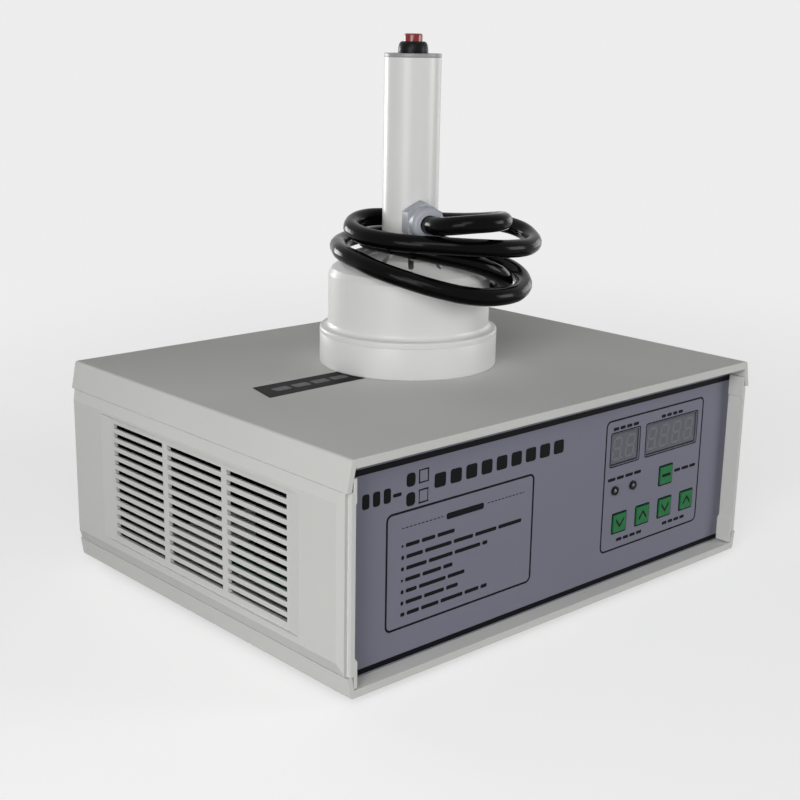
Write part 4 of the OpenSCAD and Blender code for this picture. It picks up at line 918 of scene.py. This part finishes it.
# cross-head screws at the rear, in place of the plain ones
rearScrews = {
    "facets": 28, "firstSpin": 17, "nextSpin": 41,
    "cross": {"slot": 0.55, "level": 1.7, "depth": 1.4},
    "fan": {"centre": (-90, 125.6, 69), "reach": 35.75,
            "spots": [(1, 1), (1, -1), (-1, 1), (-1, -1)],
            "rings": [(1.9, -6), (1.9, 0), (3.4, 0.0), (3.5, 0.35), (3.4, 1.0), (2.7, 1.6),
                      (1.5, 1.95), (0.4, 2.0)]},
    "inlet": {"centre": (5, 127.1, 43), "reach": 20,
              "spots": [(1, 0), (-1, 0)],
              "rings": [(1.2, -6), (1.2, 0), (2.65, 0.0), (2.75, 0.3), (2.6, 1.0), (2.0, 1.6),
                        (1.1, 1.95), (0.4, 2.0)]},
}


def oneScrew(rings, facets, cross):
    screw = finishTurned(turnedPiece("screw", rings, facets), False)
    widest = max(radius for radius, level in rings)
    for turn in (0, 90):
        bpy.ops.object.select_all(action="DESELECT")
        bpy.ops.mesh.primitive_cube_add(size=1, location=(0, 0, cross["level"] * mm),
                                        rotation=(0, 0, math.radians(turn)))
        arm = bpy.context.object
        arm.scale = (widest * mm, cross["slot"] * mm, cross["depth"] * mm)
        bpy.ops.object.transform_apply(location=True, rotation=True, scale=True)
        cutAway(screw, arm)
    return screw


def fitScrews(s):
    screws = []
    for group in (s["fan"], s["inlet"]):
        x, y, z = group["centre"]
        first = oneScrew(group["rings"], s["facets"], s["cross"])
        for i, (across, up) in enumerate(group["spots"]):
            spot = shiftBy((x + across * group["reach"], y, z + up * group["reach"]))
            turn = spinBy(-90, "X") @ spinBy(s["firstSpin"] + s["nextSpin"] * i, "Z")
            screws.append(movePiece(copyPiece(first, "screw"), spot @ turn))
        bpy.data.objects.remove(first)
    whole = joinPieces(screws, "rearScrewSet")
    seat(whole, "platedSteel", "case")
    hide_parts("rear_screws")
    print("rear screws fitted:", len(screws))


fitScrews(rearScrews)


# round-wire guard over the fan
fanGuard = {
    "centre": (-90, 124.87, 69), "wire": 0.75, "wireFacets": 10, "ringFacets": 72,
    "rings": (14.3, 21.9, 29.5, 37.2), "eye": 3.1,
    "arm": {"inner": 6.4, "reach": 35.75, "overlap": 0.4, "turns": (45, 135, 225, 315)},
    "hub": [(6.8, -0.7), (7.4, -0.3), (7.4, 0.3), (6.8, 0.7), (2.96, 0.74)], "hubFacets": 48,
}


def wireRing(s, radius, centre):
    bpy.ops.object.select_all(action="DESELECT")
    bpy.ops.mesh.primitive_torus_add(
        major_radius=radius * mm, minor_radius=s["wire"] * mm, major_segments=s["ringFacets"],
        minor_segments=s["wireFacets"], location=[c * mm for c in centre],
        rotation=faceTurns["front"])
    bpy.ops.object.transform_apply(location=True, rotation=True, scale=True)
    return bpy.context.object


def wireArm(s):
    wire, arm = s["wire"], s["arm"]
    far = arm["reach"] * math.sqrt(2)
    inner, outer = arm["inner"], far - s["eye"] + arm["overlap"]
    rings = [(wire, inner), (wire, (inner + outer) / 2), (wire, outer)]
    rod = finishTurned(turnedPiece("wireArm", rings, s["wireFacets"]), False)
    return joinPieces([rod, wireRing(s, s["eye"], (0, 0, far))], "wireArm")


def bendGuard(s):
    spot = shiftBy(s["centre"])
    wires = [wireRing(s, radius, s["centre"]) for radius in s["rings"]]
    first = wireArm(s)
    for turn in s["arm"]["turns"]:
        wires.append(movePiece(copyPiece(first, "wireArm"), spot @ spinBy(turn, "Y")))
    bpy.data.objects.remove(first)
    hub = finishTurned(turnedPiece("hub", s["hub"], s["hubFacets"]), False)
    wires.append(movePiece(hub, spot @ spinBy(-90, "X")))
    whole = joinPieces(wires, "fanGuardWires")
    smoothPiece(whole)
    seat(whole, "guardChrome", "case")
    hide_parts("fan_guard")
    print("fan guard bent:", len(wires), "wires")


bendGuard(fanGuard)


# dark foam pad over the fan's inner face; its near-black colour also paints the shade seen through
# the slots and the fan
fanPad = {"centre": (-90, 96.3, 69), "size": 76, "corner": 4, "thick": 1.2, "softEdge": 0.3}


def layPad(s):
    pad = freshPlane("fanPad", s["size"], s["size"], s["centre"])
    roundCorners(s["corner"], steps=4)
    thicken(pad, s["thick"], offset=0)
    useModifier(pad, "BEVEL", width=s["softEdge"] * mm, segments=2, limit_method="ANGLE")
    seat(pad, "padFoam", "case")
    print("fan pad laid")


layPad(fanPad)


# on and off marks on the rocker's two slopes
rockerMarks = {
    "pivot": (5, 121.0, 83), "tilt": -10, "slope": 7.5, "face": 4.6, "out": 4.3,
    "ink": 0.08, "sunk": 0.02,
    "bar": {"size": (0.9, 3.6), "corner": 0.3},
    "ring": {"size": (4.0, 4.0), "corner": 1.96, "line": 0.55},
}


def markRocker(s):
    bar = freshPlane("rockerBar", *s["bar"]["size"], (0, 0, 0), "rear")
    roundCorners(s["bar"]["corner"], steps=2)
    ring = freshPlane("rockerRing", *s["ring"]["size"], (0, 0, 0), "rear")
    roundCorners(s["ring"]["corner"], steps=8)
    keepRim(s["ring"]["line"])
    pivot = shiftBy(s["pivot"]) @ spinBy(s["tilt"], "X")
    depth = s["face"] + s["out"] * math.tan(math.radians(s["slope"])) - s["sunk"]
    for mark, up in ((bar, 1), (ring, -1)):
        thicken(mark, s["ink"])
        spot = shiftBy((0, depth, up * s["out"])) @ spinBy(-up * s["slope"], "X")
        movePiece(mark, pivot @ spot)
    whole = joinPieces([bar, ring], "rockerMarks")
    seat(whole, "markWhite", "mains_rocker")
    print("rocker marked")


markRocker(rockerMarks)
